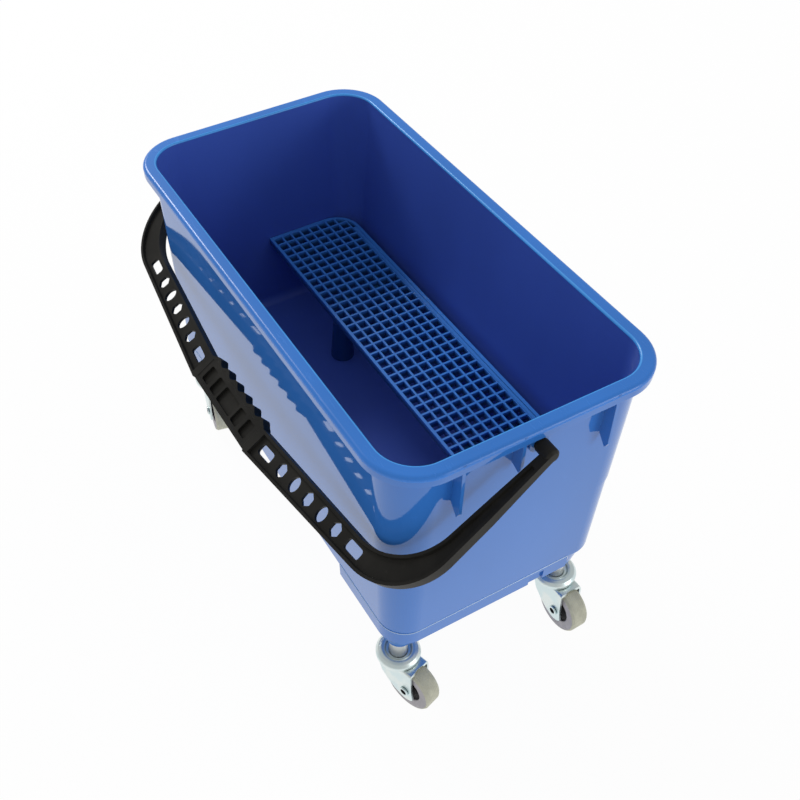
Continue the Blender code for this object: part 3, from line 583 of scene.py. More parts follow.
def moulded_blue(name, base, roughness, index, painted_shade_band=None):
    """Blue plastic: slow flow marks, faint orange peel, fine rub marks, dust low down, and painted shade,
    darker below a given band of heights.
    """
    made = Finish(name)
    flow = made.noise(7.0, 3.0, (1.0, 1.0, 0.45))
    peel = made.noise(420.0, 2.0)
    rub = made.noise(160.0, 4.0, (0.25, 1.0, 1.4), 0.65).over(0.60, 0.74)
    speck = 1 - made.cells(95.0).over(0.04, 0.10)
    low = 1 - made.height().over(*DUST_FADES)
    dust = speck * made.noise(22.0).over(0.52, 0.62) * low
    body = made.mix(flow.over(0.3, 0.7), shade(base, 0.93), shade(base, 1.07))
    body = made.mix(rub * 0.10, body, shade(base, 1.5))
    body = made.mix(dust * 0.22, body, DUST)
    # painted shade: darker below the band's heights
    if painted_shade_band:
        body = made.mix(made.height().over(*painted_shade_band), shade(base, GRID_PAINTED_SHADE), body)
    made.set(base_color=body, roughness=roughness + rub * 0.10 + dust * 0.25,
             normal=made.bump(peel + rub * 0.3, 0.05, 0.12 * MM))
    made.refract(index)
    return made.material


def moulded_black(name, base, roughness, grain):
    """Black plastic with a fine spark-eroded grain and lighter rubbed patches."""
    made = Finish(name)
    fine = made.noise(2600.0, 2.0)
    cloud = made.noise(38.0, 4.0)
    rub = made.noise(240.0, 5.0, (1.0, 0.5, 1.0), 0.65).over(0.58, 0.72)
    body = made.mix(cloud.over(0.35, 0.7), shade(base, 0.85), shade(base, 1.2))
    body = made.mix(rub * 0.30, body, shade(base, 2.0))
    made.set(base_color=body, roughness=roughness + cloud * 0.10 - rub * 0.06,
             normal=made.bump(fine + cloud * 0.2, grain, 0.15 * MM))
    made.refract(BLACK_INDEX)
    return made.material


def plated(name, base, tint, roughness):
    """Zinc plating: a pale bluish passivate with warmer clouds, fine drawing lines and pin marks."""
    made = Finish(name)
    cloud = made.noise(70.0, 4.0)
    lines = made.noise(900.0, 3.0, (1.0, 1.0, 0.08), 0.7)
    pits = 1 - made.cells(620.0).over(0.06, 0.20)
    body = made.mix(cloud.over(0.38, 0.66), base, tint)
    body = made.mix(pits * made.noise(150.0).over(0.5, 0.6) * 0.5, body, shade(base, 0.55))
    made.set(base_color=body, metallic=1.0, roughness=roughness + cloud * 0.10 + lines * 0.06,
             normal=made.bump(lines + pits * 0.4, 0.12, 0.05 * MM))
    return made.material


def rubber(name, base, dirt):
    """Grey rubber: mould bloom, rolled-in grit and a fine matt grain."""
    made = Finish(name)
    bloom = made.noise(110.0, 4.0)
    grit = 1 - made.cells(480.0).over(0.05, 0.16)
    grit = grit * made.noise(95.0, 3.0).over(0.50, 0.60)
    body = made.mix(bloom.over(0.35, 0.68), shade(base, 0.90), shade(base, 1.08))
    body = made.mix(grit * dirt, body, shade(base, 0.35))
    made.set(base_color=body, roughness=0.58 + bloom * 0.14,
             normal=made.bump(made.noise(1500.0, 3.0) + grit, 0.18, 0.12 * MM))
    return made.material


class BUCKET_OT_finishes(bpy.types.Operator):
    """Make the materials that all pieces share"""
    bl_idname = "bucket.finishes"
    bl_label = "Finishes"

    def execute(self, context):
        tone = context.scene.bucket_finish
        for name, base, roughness, index in (("glossy_blue", tone.tub_blue, 0.05, 1.50),
                                             # painted highlight on the band's top edge
                                             ("painted_highlight_blue", tone.painted_highlight_blue, 0.30, 1.46),
                                             # painted shade: the darker copy inside the tub
                                             ("inner_shaded_blue", tone.inner_shaded_blue, 0.34, 1.40),
                                             # painted highlight along the rim's inner lip
                                             ("lip_painted_highlight", tone.lip_painted_highlight, 0.30, 1.50),
                                             # painted light: the lighter copy on the rim
                                             ("rim_lit_blue", tone.rim_lit_blue, 0.27, 1.45)):
            moulded_blue(name, tuple(base), roughness, index)
        top = context.scene.bucket_grid.height
        # painted shade: the grid's openings darken below the top of its ribs
        moulded_blue("satin_blue_and_shade", tuple(tone.grid_blue), 0.22, 1.46, painted_shade_band=(top - 5 * MM, top - 0.3 * MM))
        moulded_black("satin_black", tuple(tone.handle_black), roughness=0.40, grain=0.16)
        # black nylon of the wheel cores, and painted shade in the axles' hollow ends
        moulded_black("matt_black_and_well_shade", tuple(tone.hub_black), roughness=0.46, grain=0.22)
        plated("zinc_plate", tuple(tone.zinc), tint=(0.74, 0.80, 0.78), roughness=0.27)
        plated("bright_steel", tuple(tone.steel), tint=(0.70, 0.70, 0.69), roughness=0.14)
        rubber("tread_rubber", tuple(tone.tread_grey), dirt=0.35)
        rubber("side_rubber", tuple(tone.side_grey), dirt=0.20)
        return {"FINISHED"}


def finish(name):
    return bpy.data.materials[name]


# Tub
TUB_FINISHES = ("glossy_blue", "painted_highlight_blue", "inner_shaded_blue", "lip_painted_highlight", "rim_lit_blue")
PAINTED_HIGHLIGHT, INSIDE_SHADE, LIP_HIGHLIGHT, RIM_LIT = range(1, 5)      # places in that list
SMALL_EDGE = 0.8 * MM


def wall_out(size, z):
    """Half length and half width over the outside of the walls at height z."""
    lean = size.draft * (size.rim_height - z)
    return (size.opening_length / 2 + size.wall - lean, size.opening_width / 2 + size.wall - lean)


def tub_slots(piece):
    """The tub's materials, in the order of their face indices."""
    for name in TUB_FINISHES:
        piece.data.materials.append(finish(name))


def tub_shell(size):
    """Two plates from the widest line of the rim: one goes over and inside, one down the outside."""
    top, low, side = size.rim_height, -size.wall_step, size.wall - size.wall_step
    inside = arc(size.rim_width - size.rim_round, top - size.rim_round, size.rim_round, 0, 90, 8)
    inside += arc(size.lip_round, top - size.lip_round, size.lip_round, 90, 180, 6)
    inside += [(0.0, size.step_in), (low, size.step_in - 5 * size.wall_step)]
    inside += arc(low - size.floor_fillet, size.floor_height + size.floor_fillet, size.floor_fillet,
                  0, -90, 7)
    edge = 0.3 * size.skirt_thickness
    skirt_in = size.rim_width - size.skirt_thickness
    foot, under = top - size.skirt_depth, top - size.rim_thickness
    outside = [(size.rim_width, top - size.rim_round), (size.rim_width, foot + edge)]
    outside += arc(size.rim_width - edge, foot + edge, edge, 0, -90, 3)[1:]
    outside += arc(skirt_in + edge, foot + edge, edge, -90, -180, 3)
    outside += [(skirt_in - size.draft * (under - foot - edge), under), (size.wall + 2 * edge, under)]
    outside += arc(size.wall + 2 * edge, under - 2 * edge, 2 * edge, 90, 180, 3)[1:]
    outside += [(size.wall, size.step_out), (side, size.step_out - 2 * size.wall_step)]
    base = size.floor_height - size.wall
    outside += arc(side - size.bottom_round, base + size.bottom_round, size.bottom_round, 0, -90, 6)
    halves = []
    for name, profile, facing in (("tub", inside, 1), ("tub_outside", outside, -1)):
        drafted = [(offset - size.draft * (top - z), z) for offset, z in profile]
        out, z = drafted[0]
        plate = rounded_plate(name, size.opening_length / 2 + out, size.opening_width / 2 + out,
                              size.corner + out, z, MIDDLE, size.corner_steps, facing)
        halves.append(carried(plate, drafted, facing))
    # Painted shade and light: faces inside take the darker copy, the lip a painted highlight and the rest of
    # the rim a lighter copy
    for face in halves[0].data.polygons:
        out_x = abs(face.center.x) - size.opening_length / 2 + size.corner
        out_y = abs(face.center.y - MIDDLE) - size.opening_width / 2 + size.corner
        beyond = math.hypot(max(out_x, 0.0), max(out_y, 0.0)) - size.corner
        if beyond < size.lip_round:
            face.material_index = INSIDE_SHADE if face.center.z < top - 1.2 * size.lip_round else LIP_HIGHLIGHT
        else:
            face.material_index = RIM_LIT
    for half in halves:
        tub_slots(half)
    return joined(*halves)


def painted_highlight_edge(wall, top, width):
    """Bevel a ring wall's outer top edge; the new faces take the painted highlight material."""
    with editing(wall, "EDGE"):
        bpy.ops.mesh.select_all(action="DESELECT")
        bm = bmesh.from_edit_mesh(wall.data)
        for edge in bm.edges:
            sides = [face for face in edge.link_faces if abs(face.normal.z) < 0.5]
            outward = [face for face in sides
                       if face.normal.xy.dot(face.calc_center_median().xy - Vector((0.0, MIDDLE))) > 0]
            edge.select_set(len(sides) == 1 and bool(outward)
                            and min(vert.co.z for vert in edge.verts) > top - TINY)
        bmesh.update_edit_mesh(wall.data)
        # the bevel's faces carry the painted highlight
        bpy.ops.mesh.bevel(offset=width, segments=1, material=PAINTED_HIGHLIGHT, affect="EDGES")


def foot_wall(size, top, proud, inset, radius, keep):
    """Ring wall under the tub, kept at both ends and on one side of a plane across."""
    foot = size.foot_height
    edge = 0.25 * size.foot_wall
    half_x, half_y = (v - size.wall_step + proud for v in wall_out(size, top))
    centre = MIDDLE - inset / 2
    turn_in = radius - size.draft * (size.rim_height - top)
    plate = rounded_plate("foot", half_x, half_y - inset / 2, turn_in, top, centre, size.corner_steps, -1)
    low = -size.draft * (top - foot)
    profile = [(0.0, top), (low, foot + edge), (low - edge, foot), (low + edge - size.foot_wall, foot),
               (low - size.foot_wall, foot + edge), (low - size.foot_wall, top)]
    wall = carried(plate, profile, -1)
    with editing(wall):
        pick_faces(wall, lambda middle, normal: abs(normal.z) > 0.9 and middle.z > top - edge
                   and abs(middle.x) < half_x / 2)
        bpy.ops.mesh.delete(type="FACE")
        bpy.ops.mesh.select_mode(type="EDGE")
        bpy.ops.mesh.select_all(action="DESELECT")
        bpy.ops.mesh.select_non_manifold()
        bpy.ops.mesh.bridge_edge_loops()
    recalculated(wall)
    if proud:
        tub_slots(wall)
        # painted highlight along the band's top edge
        painted_highlight_edge(wall, top, 0.85 * proud)
    reach = size.opening_length
    inner = wall_out(size, foot)[0] - size.foot_length
    other = (MIDDLE - reach, MIDDLE + keep[1]) if keep[0] is None else (MIDDLE + keep[0], MIDDLE + reach)
    cuts = [block("cut", (-inner, -reach, 0), (inner, reach, reach)),
            block("cut", (-reach, other[0], 0), (reach, other[1], reach))]
    for cut in cuts:
        boolean(wall, "DIFFERENCE", [cut])
    return wall


def rim_rib(size, end, offset, drop, rake):
    """Triangular rib between the end wall and the skirt."""
    top, foot = size.rim_height - 0.5 * size.rim_thickness, size.rim_height - drop
    outer = size.opening_length / 2 + size.rim_width - 0.3 * MM
    outline = [(wall_out(size, top)[0] - 0.5 * size.wall, top), (outer, top), (outer, foot + 0.1 * drop),
               (outer - 0.05 * drop, foot), (wall_out(size, foot + rake)[0] - 0.5 * size.wall, foot + rake)]
    rib = prism("rib", outline, -size.rib_thickness / 2, size.rib_thickness / 2)
    bevelled(rib, 0.4 * MM)
    stand = Matrix(((end, 0, 0, 0), (0, 0, -1, MIDDLE + offset), (0, 1, 0, 0), (0, 0, 0, 1)))
    return recalculated(placed(rib, stand))


def spots():
    """Swivel axes of the casters, from their joints."""
    return [Matrix.Translation((*JOINTS["swivel_%d_turn" % n]["pos_m"][:2], 0.0)) for n in CASTERS]


class BUCKET_OT_tub(bpy.types.Operator):
    """Model the tub with its rim, ribs, pivot pads, feet and caster sockets"""
    bl_idname = "bucket.tub"
    bl_label = "Tub"

    def execute(self, context):
        size, bail = context.scene.bucket_tub, context.scene.bucket_handle
        caster = context.scene.bucket_caster
        tub = tub_shell(size)
        plate = size.floor_height - 0.55 * size.wall
        flush = size.corner + size.wall - size.wall_step
        added = [foot_wall(size, size.band_top, size.band_proud, 0.0, flush, (size.band_end, None)),
                 foot_wall(size, plate, 0.0, size.foot_inset, size.foot_radius,
                           (None, size.band_end - size.foot_radius))]
        foot_x, foot_y = wall_out(size, size.foot_height)
        inner = foot_x - size.foot_length
        cuts = []
        for end in (1, -1):
            cross = sorted((end * inner, end * (inner + size.foot_wall)))
            front = MIDDLE - foot_y + size.wall_step + 0.4 * size.foot_wall
            rear = MIDDLE + foot_y - size.wall_step - size.foot_inset - 0.4 * size.foot_wall
            added.append(block("cross", (cross[0], front, size.foot_height + 0.2 * MM),
                               (cross[1], rear, plate)))
            for offset, drop, rake in ((-size.rib_offset, size.rib_drop, size.rib_rake),
                                       (size.rib_offset, size.rib_drop, size.rib_rake),
                                       (-size.stop_offset, size.stop_drop, 0.4 * size.rib_rake)):
                added.append(rim_rib(size, end, offset, drop, rake))
            wall_end = wall_out(size, PIVOT.z)[0]
            pad_end = wall_end + size.pad_reach
            across = Matrix.Translation((0, PIVOT.y, PIVOT.z)) @ Matrix.Rotation(end * math.pi / 2, 4, "Y")
            pad = turned("pad", eased([(0, pad_end), (size.pad_radius, pad_end),
                                       (size.pad_radius, wall_end - 0.5 * size.wall),
                                       (0, wall_end - 0.5 * size.wall)], SMALL_EDGE), 40)
            added.append(placed(pad, across))
            cuts.append(drum("bore", bail.stub_radius + caster.clearance, pad_end - size.pivot_depth,
                             pad_end + size.pad_reach, 40, across))
            span = sorted((end * (foot_x - 0.8 * size.foot_wall), end * (foot_x + 3 * size.foot_wall)))
            near = MIDDLE + size.notch_centre - size.notch_width / 2
            cuts.append(block("notch", (span[0], near, size.foot_height - 3 * MM),
                              (span[1], near + size.notch_width, size.foot_height + size.notch_height)))
        for spot in spots():
            profile = [(0, plate), (size.socket_flare, plate), (size.socket_flare, size.foot_height),
                       (size.socket_radius, size.socket_height), (0, size.socket_height)]
            added.append(placed(turned("socket", eased(profile, 1.2 * MM), 48), spot))
            cuts.append(drum("bore", caster.stem_radius + caster.clearance, size.socket_height - 5 * MM,
                             size.floor_height - 1.4 * size.wall, 40, spot))
        finishes = tuple(tub.data.materials)
        boolean(tub, "UNION", added)
        boolean(tub, "DIFFERENCE", cuts)
        smoothed(tub, 24)
        delivered(tub, finishes, "tub", ["bucket_body"])
        return {"FINISHED"}


# Drain grid
LEG_ROWS, LEG_COLUMNS = (10, 30), (2, 6)    # the rib crossings that stand on legs
LATTICE_SINK = 0.12 * MM                    # keeps the ribs' faces off the border's


class BUCKET_OT_drain_grid(bpy.types.Operator):
    """Model the drain grid: inset openings, a rounded border and hollow legs"""
    bl_idname = "bucket.drain_grid"
    bl_label = "Drain grid"

    def execute(self, context):
        size, tub = context.scene.bucket_grid, context.scene.bucket_tub
        low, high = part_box("drain_grid")
        x0, x1 = low[0] + size.border, high[0] - size.border
        y0, y1 = low[1] + size.rib, high[1] - size.back_border
        top, under = size.height, size.height - size.depth
        lattice = add("grid", "drain_grid_piece", x_subdivisions=size.rows, y_subdivisions=size.columns,
                      size=1.0)
        with editing(lattice):
            bpy.ops.transform.resize(value=(x1 - x0, y1 - y0, 1.0))
            bpy.ops.transform.translate(value=((x0 + x1) / 2, (y0 + y1) / 2, top - LATTICE_SINK))
            bpy.ops.mesh.inset(use_individual=True, thickness=size.rib / 2, use_even_offset=True)
            bpy.ops.mesh.delete(type="FACE")
            bpy.ops.mesh.select_all(action="SELECT")
            bpy.ops.mesh.extrude_region_move(
                TRANSFORM_OT_translate={"value": (0, 0, 2 * LATTICE_SINK - size.depth)})
        recalculated(lattice)
        meet(lattice, self.border(size, low, high, top + MM, under - MM, 0.5 * size.border))
        frame_ring = self.border(size, low, high, top, under, 0.0)
        inner = self.border(size, low, high, top + MM, under - MM, size.border)
        boolean(frame_ring, "DIFFERENCE", [inner])
        ledge = block("ledge", (low[0] + size.corner, y1 + 0.4 * size.rib, under + 2 * MM),
                      (high[0] - size.corner, high[1] - size.border / 2, top - 0.9 * MM))
        added = [frame_ring, ledge]
        row_pitch, column_pitch = (x1 - x0) / size.rows, (y1 - y0) / size.columns
        leg_top, foot = under + 1.5 * MM, tub.floor_height + 0.3 * MM
        profile = [(0, leg_top), (size.leg_top, leg_top), (size.leg_foot, foot),
                   (size.leg_foot - size.leg_wall, foot),
                   (size.leg_top - size.leg_wall, leg_top - 2 * size.leg_wall),
                   (0, leg_top - 2 * size.leg_wall)]
        for row in LEG_ROWS:
            for column in LEG_COLUMNS:
                spot = Matrix.Translation((x0 + row * row_pitch, y0 + column * column_pitch, 0))
                added.append(placed(turned("leg", eased(profile, SMALL_EDGE), 36), spot))
        boolean(lattice, "UNION", added)
        bevelled(lattice, 0.3 * MM, 2, 50)
        smoothed(lattice, 35)
        delivered(lattice, finish("satin_blue_and_shade"), "drain_grid", ["drain_grid"])
        return {"FINISHED"}

    def border(self, size, low, high, top, under, inset):
        """Solid plate with two rounded back corners, set in from the grid's outline."""
        x0, x1, y0, y1 = low[0] + inset, high[0] - inset, low[1] + 0.7 * inset, high[1] - inset
        radius = size.corner - inset
        outline = [(x0, y0), (x1, y0)] + arc(x1 - radius, y1 - radius, radius, 0, 90, 10)
        outline += arc(x0 + radius, y1 - radius, radius, 90, 180, 10)
        return prism("border", outline, under, top)


# Handle
RECESS_END, LAST_STATION = 2.0, 3.2         # end of the arms' recesses and station before, in knuckle radii
ARM_TIP = -0.4                              # the arms end inside the knuckles
RECESS_SLOPE = 0.3                          # a recess's sloping side as a share of its flange
GRIP_RECESS = 0.6 * MM
# Centre and width of each pocket in the grip, in ninths of its length
POCKETS = ((-3.3, 1.0), (-1.9, 1.0), (0.0, 2.3), (1.9, 1.0), (3.3, 1.0))
# Corners of the cut-outs, as shares of their half lengths and half widths
SLOT = ((1, 1), (-1, 1), (-1, -1), (1, -1))
HEXAGON = ((0, 1), (-1, 0.45), (-1, -0.45), (0, -1), (1, -0.45), (1, 0.45))
ELLIPSE = tuple((math.cos(t), math.sin(t)) for t in (math.tau * n / 28 + math.pi / 2 for n in range(28)))


def corner_arc(line_x, level, slope, radius, steps):
    """Arc from the sloping long side into an arm."""
    tilt = math.atan(slope)
    inset = radius * math.tan((math.pi / 2 - tilt) / 2)
    centre_x, centre_s = line_x - radius, level - slope * line_x - inset
    angles = [(math.pi / 2 - tilt) * k / steps for k in range(steps, -1, -1)]
    return [(centre_x + radius * math.cos(t), centre_s + radius * math.sin(t)) for t in angles]


def arm_share(size, s):
    """0 at the pivot, 1 from where the arm has its full size."""
    return min(max(s / size.taper_length, 0.0), 1.0)


def bail_stations(size, inner_x):
    """Outer and inner edge points from mid-grip round to the +X arm's tip."""
    half = size.grip_length / 2
    outer_x = inner_x + size.arm_width
    inner_reach = size.reach - size.width
    outer_level, inner_level = size.reach + size.outer_bow * half, inner_reach + size.inner_bow * half
    stations = []
    steps = 7 * size.grooves
    phase = math.pi * (1 - size.grooves % 2)
    for k in range(steps + 1):
        x = half * k / steps
        # the recess's rim would fold over stations this close to the grip's end
        if 0 < half - x < (1.1 + RECESS_SLOPE) * size.flange:
            continue
        wave = size.groove_depth * math.cos(math.tau * size.grooves * x / size.grip_length + phase)
        stations.append(((x, size.reach - size.grip_step),
                         (x, inner_reach - size.grip_swell - size.groove_depth - wave)))
    for x in (half + 1.0 * MM, half + 3.0 * MM):
        stations.append(((x, outer_level - size.outer_bow * x), (x, inner_level - size.inner_bow * x)))
    outer_arc = corner_arc(outer_x, outer_level, size.outer_bow, size.outer_corner, 22)
    inner_arc = corner_arc(inner_x, inner_level, size.inner_bow, size.inner_corner, 22)
    for share in (0.25, 0.5, 0.75):
        pair = []
        for end, level, bow in ((outer_arc[0], outer_level, size.outer_bow),
                                (inner_arc[0], inner_level, size.inner_bow)):
            at = x + (end[0] - x) * share
            pair.append((at, level - bow * at))
        stations.append(tuple(pair))
    stations += list(zip(outer_arc, inner_arc))
    for s in (0.75 * size.taper_length, 0.5 * size.taper_length, LAST_STATION * size.boss_radius,
              RECESS_END * size.boss_radius, ARM_TIP * size.boss_radius):
        slim = 1 - arm_share(size, s)
        stations.append(((outer_x - size.taper_out * slim, s), (inner_x + size.taper_in * slim, s)))
    return stations


def cut_outs(size):
    """Outlines on one half of the long side: a slot, alternating hexagons and ellipses, a slot."""
    half = size.grip_length / 2
    slope = (size.outer_bow + size.inner_bow) / 2
    tilt = math.atan(slope)
    last = size.hole_start + size.hole_pitch * (size.hole_count - 1)
    slot = (size.slot_length / 2, size.slot_width / 2, SLOT, 0.34 * size.slot_width)
    holes = [(size.hole_start - size.slot_gap, *slot), (last + size.slot_gap, *slot)]
    for k in range(size.hole_count):
        shape = (HEXAGON, 1.6 * MM) if k % 2 == 0 else (ELLIPSE, 0.0)
        holes.append((size.hole_start + size.hole_pitch * k, size.hole_width / 2, size.hole_length / 2,
                      *shape))
    outlines = []
    for x, half_a, half_b, corners, ease in holes:
        s = size.reach - size.width / 2 - slope * (x - half)
        outline = []
        for a, b in ((half_a * u, half_b * v) for u, v in corners):
            outline.append((x + a * math.cos(tilt) + b * math.sin(tilt),
                            -(s - a * math.sin(tilt) + b * math.cos(tilt))))
        outlines.append(eased(outline, ease, 6, True) if ease else outline)
    return outlines


class BUCKET_OT_handle(bpy.types.Operator):
    """Model the bail handle: a strip laid along the bail, extruded, recessed, pierced and hung"""
    bl_idname = "bucket.handle"
    bl_label = "Bail handle"

    def execute(self, context):
        size, tub = context.scene.bucket_handle, context.scene.bucket_tub
        caster = context.scene.bucket_caster
        inner_x = tub.opening_length / 2 + tub.rim_width + size.arm_gap
        half = bail_stations(size, inner_x)
        stations = [((-o[0], o[1]), (-i[0], i[1])) for o, i in half[:0:-1]] + half
        bail = add("grid", "bail_handle", x_subdivisions=len(stations) - 1, y_subdivisions=1, size=1.0)
        top = size.thickness / 2
        with editing(bail):
            bm = bmesh.from_edit_mesh(bail.data)
            rows = sorted(bm.verts, key=lambda v: (round(v.co.x, 6), v.co.y))
            if len(rows) != 2 * len(stations):
                raise RuntimeError("the strip doesn't match the handle's stations")
            for k, (outer, inner) in enumerate(stations):
                rows[2 * k].co = (outer[0], -outer[1], top)
                rows[2 * k + 1].co = (inner[0], -inner[1], top)
            bmesh.update_edit_mesh(bail.data)
            bpy.ops.mesh.select_all(action="SELECT")
            bpy.ops.mesh.extrude_region_move(TRANSFORM_OT_translate={"value": (0, 0, -size.thickness)})
        recalculated(bail)
        grip = size.grip_length / 2
        arm_end = -1.05 * RECESS_END * size.boss_radius
        recesses = ((1, lambda m: abs(m.x) > grip + 2.5 * MM and m.y < arm_end, size.channel),
                    (1, lambda m: abs(m.x) < grip, GRIP_RECESS),
                    (-1, lambda m: m.y < arm_end, size.hollow))
        with editing(bail):
            for side, region, depth in recesses:
                pick_faces(bail, lambda m, n: n.z * side > 0.9 and abs(m.z - side * top) < TINY and region(m))
                bpy.ops.mesh.inset(thickness=size.flange, use_even_offset=True)
                bpy.ops.mesh.inset(thickness=RECESS_SLOPE * size.flange, depth=-depth, use_even_offset=True)
            bm = bmesh.from_edit_mesh(bail.data)
            for vert in bm.verts:
                vert.co.z *= size.thin_end + (1 - size.thin_end) * arm_share(size, -vert.co.y)
            bmesh.update_edit_mesh(bail.data)
        cuts = []
        for outline in cut_outs(size):
            cuts.append(prism("hole", outline, -size.thickness, size.thickness))
            cuts.append(prism("hole", [(-p[0], p[1]) for p in outline], -size.thickness, size.thickness))
        low = size.reach - size.grip_step - 2 * size.flange
        high = size.reach - size.width + 2 * size.flange
        pocket = size.grip_length / 9
        floor = top - GRIP_RECESS - size.pocket_depth
        for centre, width in POCKETS:
            edge = width * pocket / 2
            outline = [(centre * pocket - edge, -low), (centre * pocket + edge, -low),
                       (centre * pocket + edge, -high), (centre * pocket - edge, -high)]
            cuts.append(prism("pocket", eased(outline, 2.2 * MM, 5, True), floor, top + size.pocket_depth))
        pad_end = wall_out(tub, PIVOT.z)[0] + tub.pad_reach
        stub_end = pad_end - tub.pivot_depth + caster.clearance
        boss_end = inner_x + size.arm_width - size.taper_out + 0.4 * MM
        profile = [(0, stub_end), (size.stub_radius, stub_end), (size.stub_radius, pad_end + 1.0 * MM),
                   (size.boss_radius, pad_end + 1.6 * MM), (size.boss_radius, boss_end - 2.0 * MM),
                   (size.boss_radius - 2.0 * MM, boss_end), (0, boss_end)]
        stubs = [placed(turned("stub", eased(profile, 2.0 * MM, 5), 40),
                        Matrix.Rotation(end * math.pi / 2, 4, "Y")) for end in (1, -1)]
        boolean(bail, "UNION", stubs)
        boolean(bail, "DIFFERENCE", cuts)
        smoothed(bail, 32)
        placed(bail, Matrix.Translation(PIVOT) @ Matrix.Rotation(size.hang, 4, "X"))
        delivered(bail, finish("satin_black"), "handle", ["handle"])
        return {"FINISHED"}


# Casters: each piece is modelled once on the swivel axis, trailing along +X, and copied to the four corners
def swivels():
    """Place of each caster's swivel axis and its resting turn, from the joints."""
    places = []
    for n in CASTERS:
        post = JOINTS["swivel_%d_turn" % n]["pos_m"]
        axis = JOINTS["wheel_%d_roll" % n]["axis"]
        places.append(Matrix.Translation((post[0], post[1], 0.0)) @ Matrix.Rotation(
            math.atan2(axis[0], -axis[1]), 4, "Z"))
    return places


def copy_to_corners(piece, node, body, finishes):
    """One copy per caster, each with its own mesh, riding on its own body."""
    for n, place in zip(CASTERS, swivels()):
        made = placed(copied(piece, "caster_%d_%s_piece" % (n, node)), place)
        delivered(made, finishes, body % n if "%" in body else body, ["caster_%d_%s" % (n, node)])
    bpy.data.objects.remove(piece, do_unlink=True)


def levels(size):
    """Heights that the caster's pieces share."""
    under = 2 * size.wheel_radius + size.crown_gap
    crown = under + size.sheet
    track = crown + size.track_height
    return under, crown, track


def wheel_place(size):
    return Matrix.Translation((size.trail, 0, size.wheel_radius)) @ Matrix.Rotation(math.pi / 2, 4, "X")


class BUCKET_OT_stems(bpy.types.Operator):
    """Model the caster stems and their race cups"""
    bl_idname = "bucket.stems"
    bl_label = "Stems and cups"

    def execute(self, context):
        size, tub = context.scene.bucket_caster, context.scene.bucket_tub
        under, _, track = levels(size)
        gap = size.clearance
        shoulder, shoulder_top = track + gap, track + gap + 1.6 * MM
        wide = 0.5 * (size.stem_radius + size.track_radius) - 1.5 * MM
        stem_top = tub.floor_height - 1.4 * tub.wall - gap
        head = under - gap
        profile = [(0, stem_top), (size.stem_radius, stem_top), (size.stem_radius, shoulder_top),
                   (wide, shoulder_top), (wide, shoulder), (size.kingpin, shoulder), (size.kingpin, head),
                   (size.head_radius, head), (size.head_radius, head - size.head_height),
                   (0, head - size.head_height)]
        stem = smoothed(turned("stem", eased(profile, 0.6 * MM, 3), 48))
        copy_to_corners(stem, "stem", "tub", finish("bright_steel"))
        bore, lip, sheet = size.stem_radius + gap, track - 0.5 * size.track_height, 1.6 * MM
        crest, floor, out = lip + size.cup_height, shoulder_top + gap, size.cup_radius
        profile = [(out - 0.6 * MM, lip), (out, lip + 0.45 * size.cup_height),
                   (out - 2.6 * MM, crest - 1.6 * MM), (out - 6.2 * MM, crest),
                   (bore + 3.6 * MM, crest - 0.7 * MM), (bore + 2.8 * MM, floor + sheet),
                   (bore, floor + sheet), (bore, floor), (bore + 4.2 * MM, floor),
                   (out - 5.2 * MM, crest - 1.8 * sheet), (out - 2.0 * MM, lip)]
        cup = smoothed(turned("cup", eased(profile, 3.0 * MM, 4, True), 64, True), 40)
        copy_to_corners(cup, "cup", "tub", finish("zinc_plate"))
        return {"FINISHED"}


class BUCKET_OT_forks(bpy.types.Operator):
    """Model the pressed forks: a bent channel cut to the side outline, with a raised race"""
    bl_idname = "bucket.forks"
    bl_label = "Forks"

    def execute(self, context):
        size = context.scene.bucket_caster
        under, crown, track = levels(size)
        half, inside = size.fork_width / 2, size.fork_width / 2 - size.sheet
        wheel, trail = size.wheel_radius, size.trail
        outer = eased([(half, 0), (half, crown), (-half, crown), (-half, 0)], 3.0 * MM, 6)
        inner = eased([(-inside, 0), (-inside, under), (inside, under), (inside, 0)], 1.2 * MM, 5)
        span = trail + wheel
        channel = prism("fork", list(outer) + list(inner), -0.5 * span, span)
        placed(channel, Matrix(((0, 0, 1, 0), (1, 0, 0, 0), (0, 1, 0, 0), (0, 0, 0, 1))))
        tip, front, back = 0.47 * wheel, trail + 0.24 * wheel, -0.53 * wheel
        outline = [(back, crown + size.sheet), (back, crown - 0.4 * wheel), (0.62 * back, 1.2 * wheel),
                   (0.1 * trail, 0.82 * wheel), (trail - 0.9 * tip, wheel - 0.75 * tip)]
        outline += arc(trail, wheel, tip, 240, 325, 8)
        outline += [(front + 0.12 * tip, 1.25 * wheel), (front, crown + size.sheet)]
        side = prism("side", eased(outline, 6.0 * MM, 5, True), -size.fork_width, size.fork_width)
        placed(side, Matrix(((1, 0, 0, 0), (0, 0, -1, 0), (0, 1, 0, 0), (0, 0, 0, 1))))
        meet(recalculated(channel), recalculated(side))
        race = [(0, track), (size.track_radius, track), (size.track_radius, crown - 0.4 * size.sheet),
                (0, crown - 0.4 * size.sheet)]
        boolean(channel, "UNION", [turned("race", eased(race, 1.4 * MM, 5), 56)])
        arch = Matrix.Translation((front + 0.55 * wheel, 0, 0))
        boolean(channel, "DIFFERENCE", [
            drum("arch", 0.62 * wheel, under - 0.5 * MM, 1.2 * track, 48, arch),
            drum("bore", size.kingpin + size.clearance, 0.8 * under, 1.2 * track, 40, Matrix()),
            drum("bore", size.axle + size.clearance, -size.fork_width, size.fork_width, 32,
                 wheel_place(size))])
        bevelled(channel, 0.35 * MM, 2, 50)
        smoothed(channel, 35)
        copy_to_corners(channel, "fork", "swivel_%d", finish("zinc_plate"))
        return {"FINISHED"}


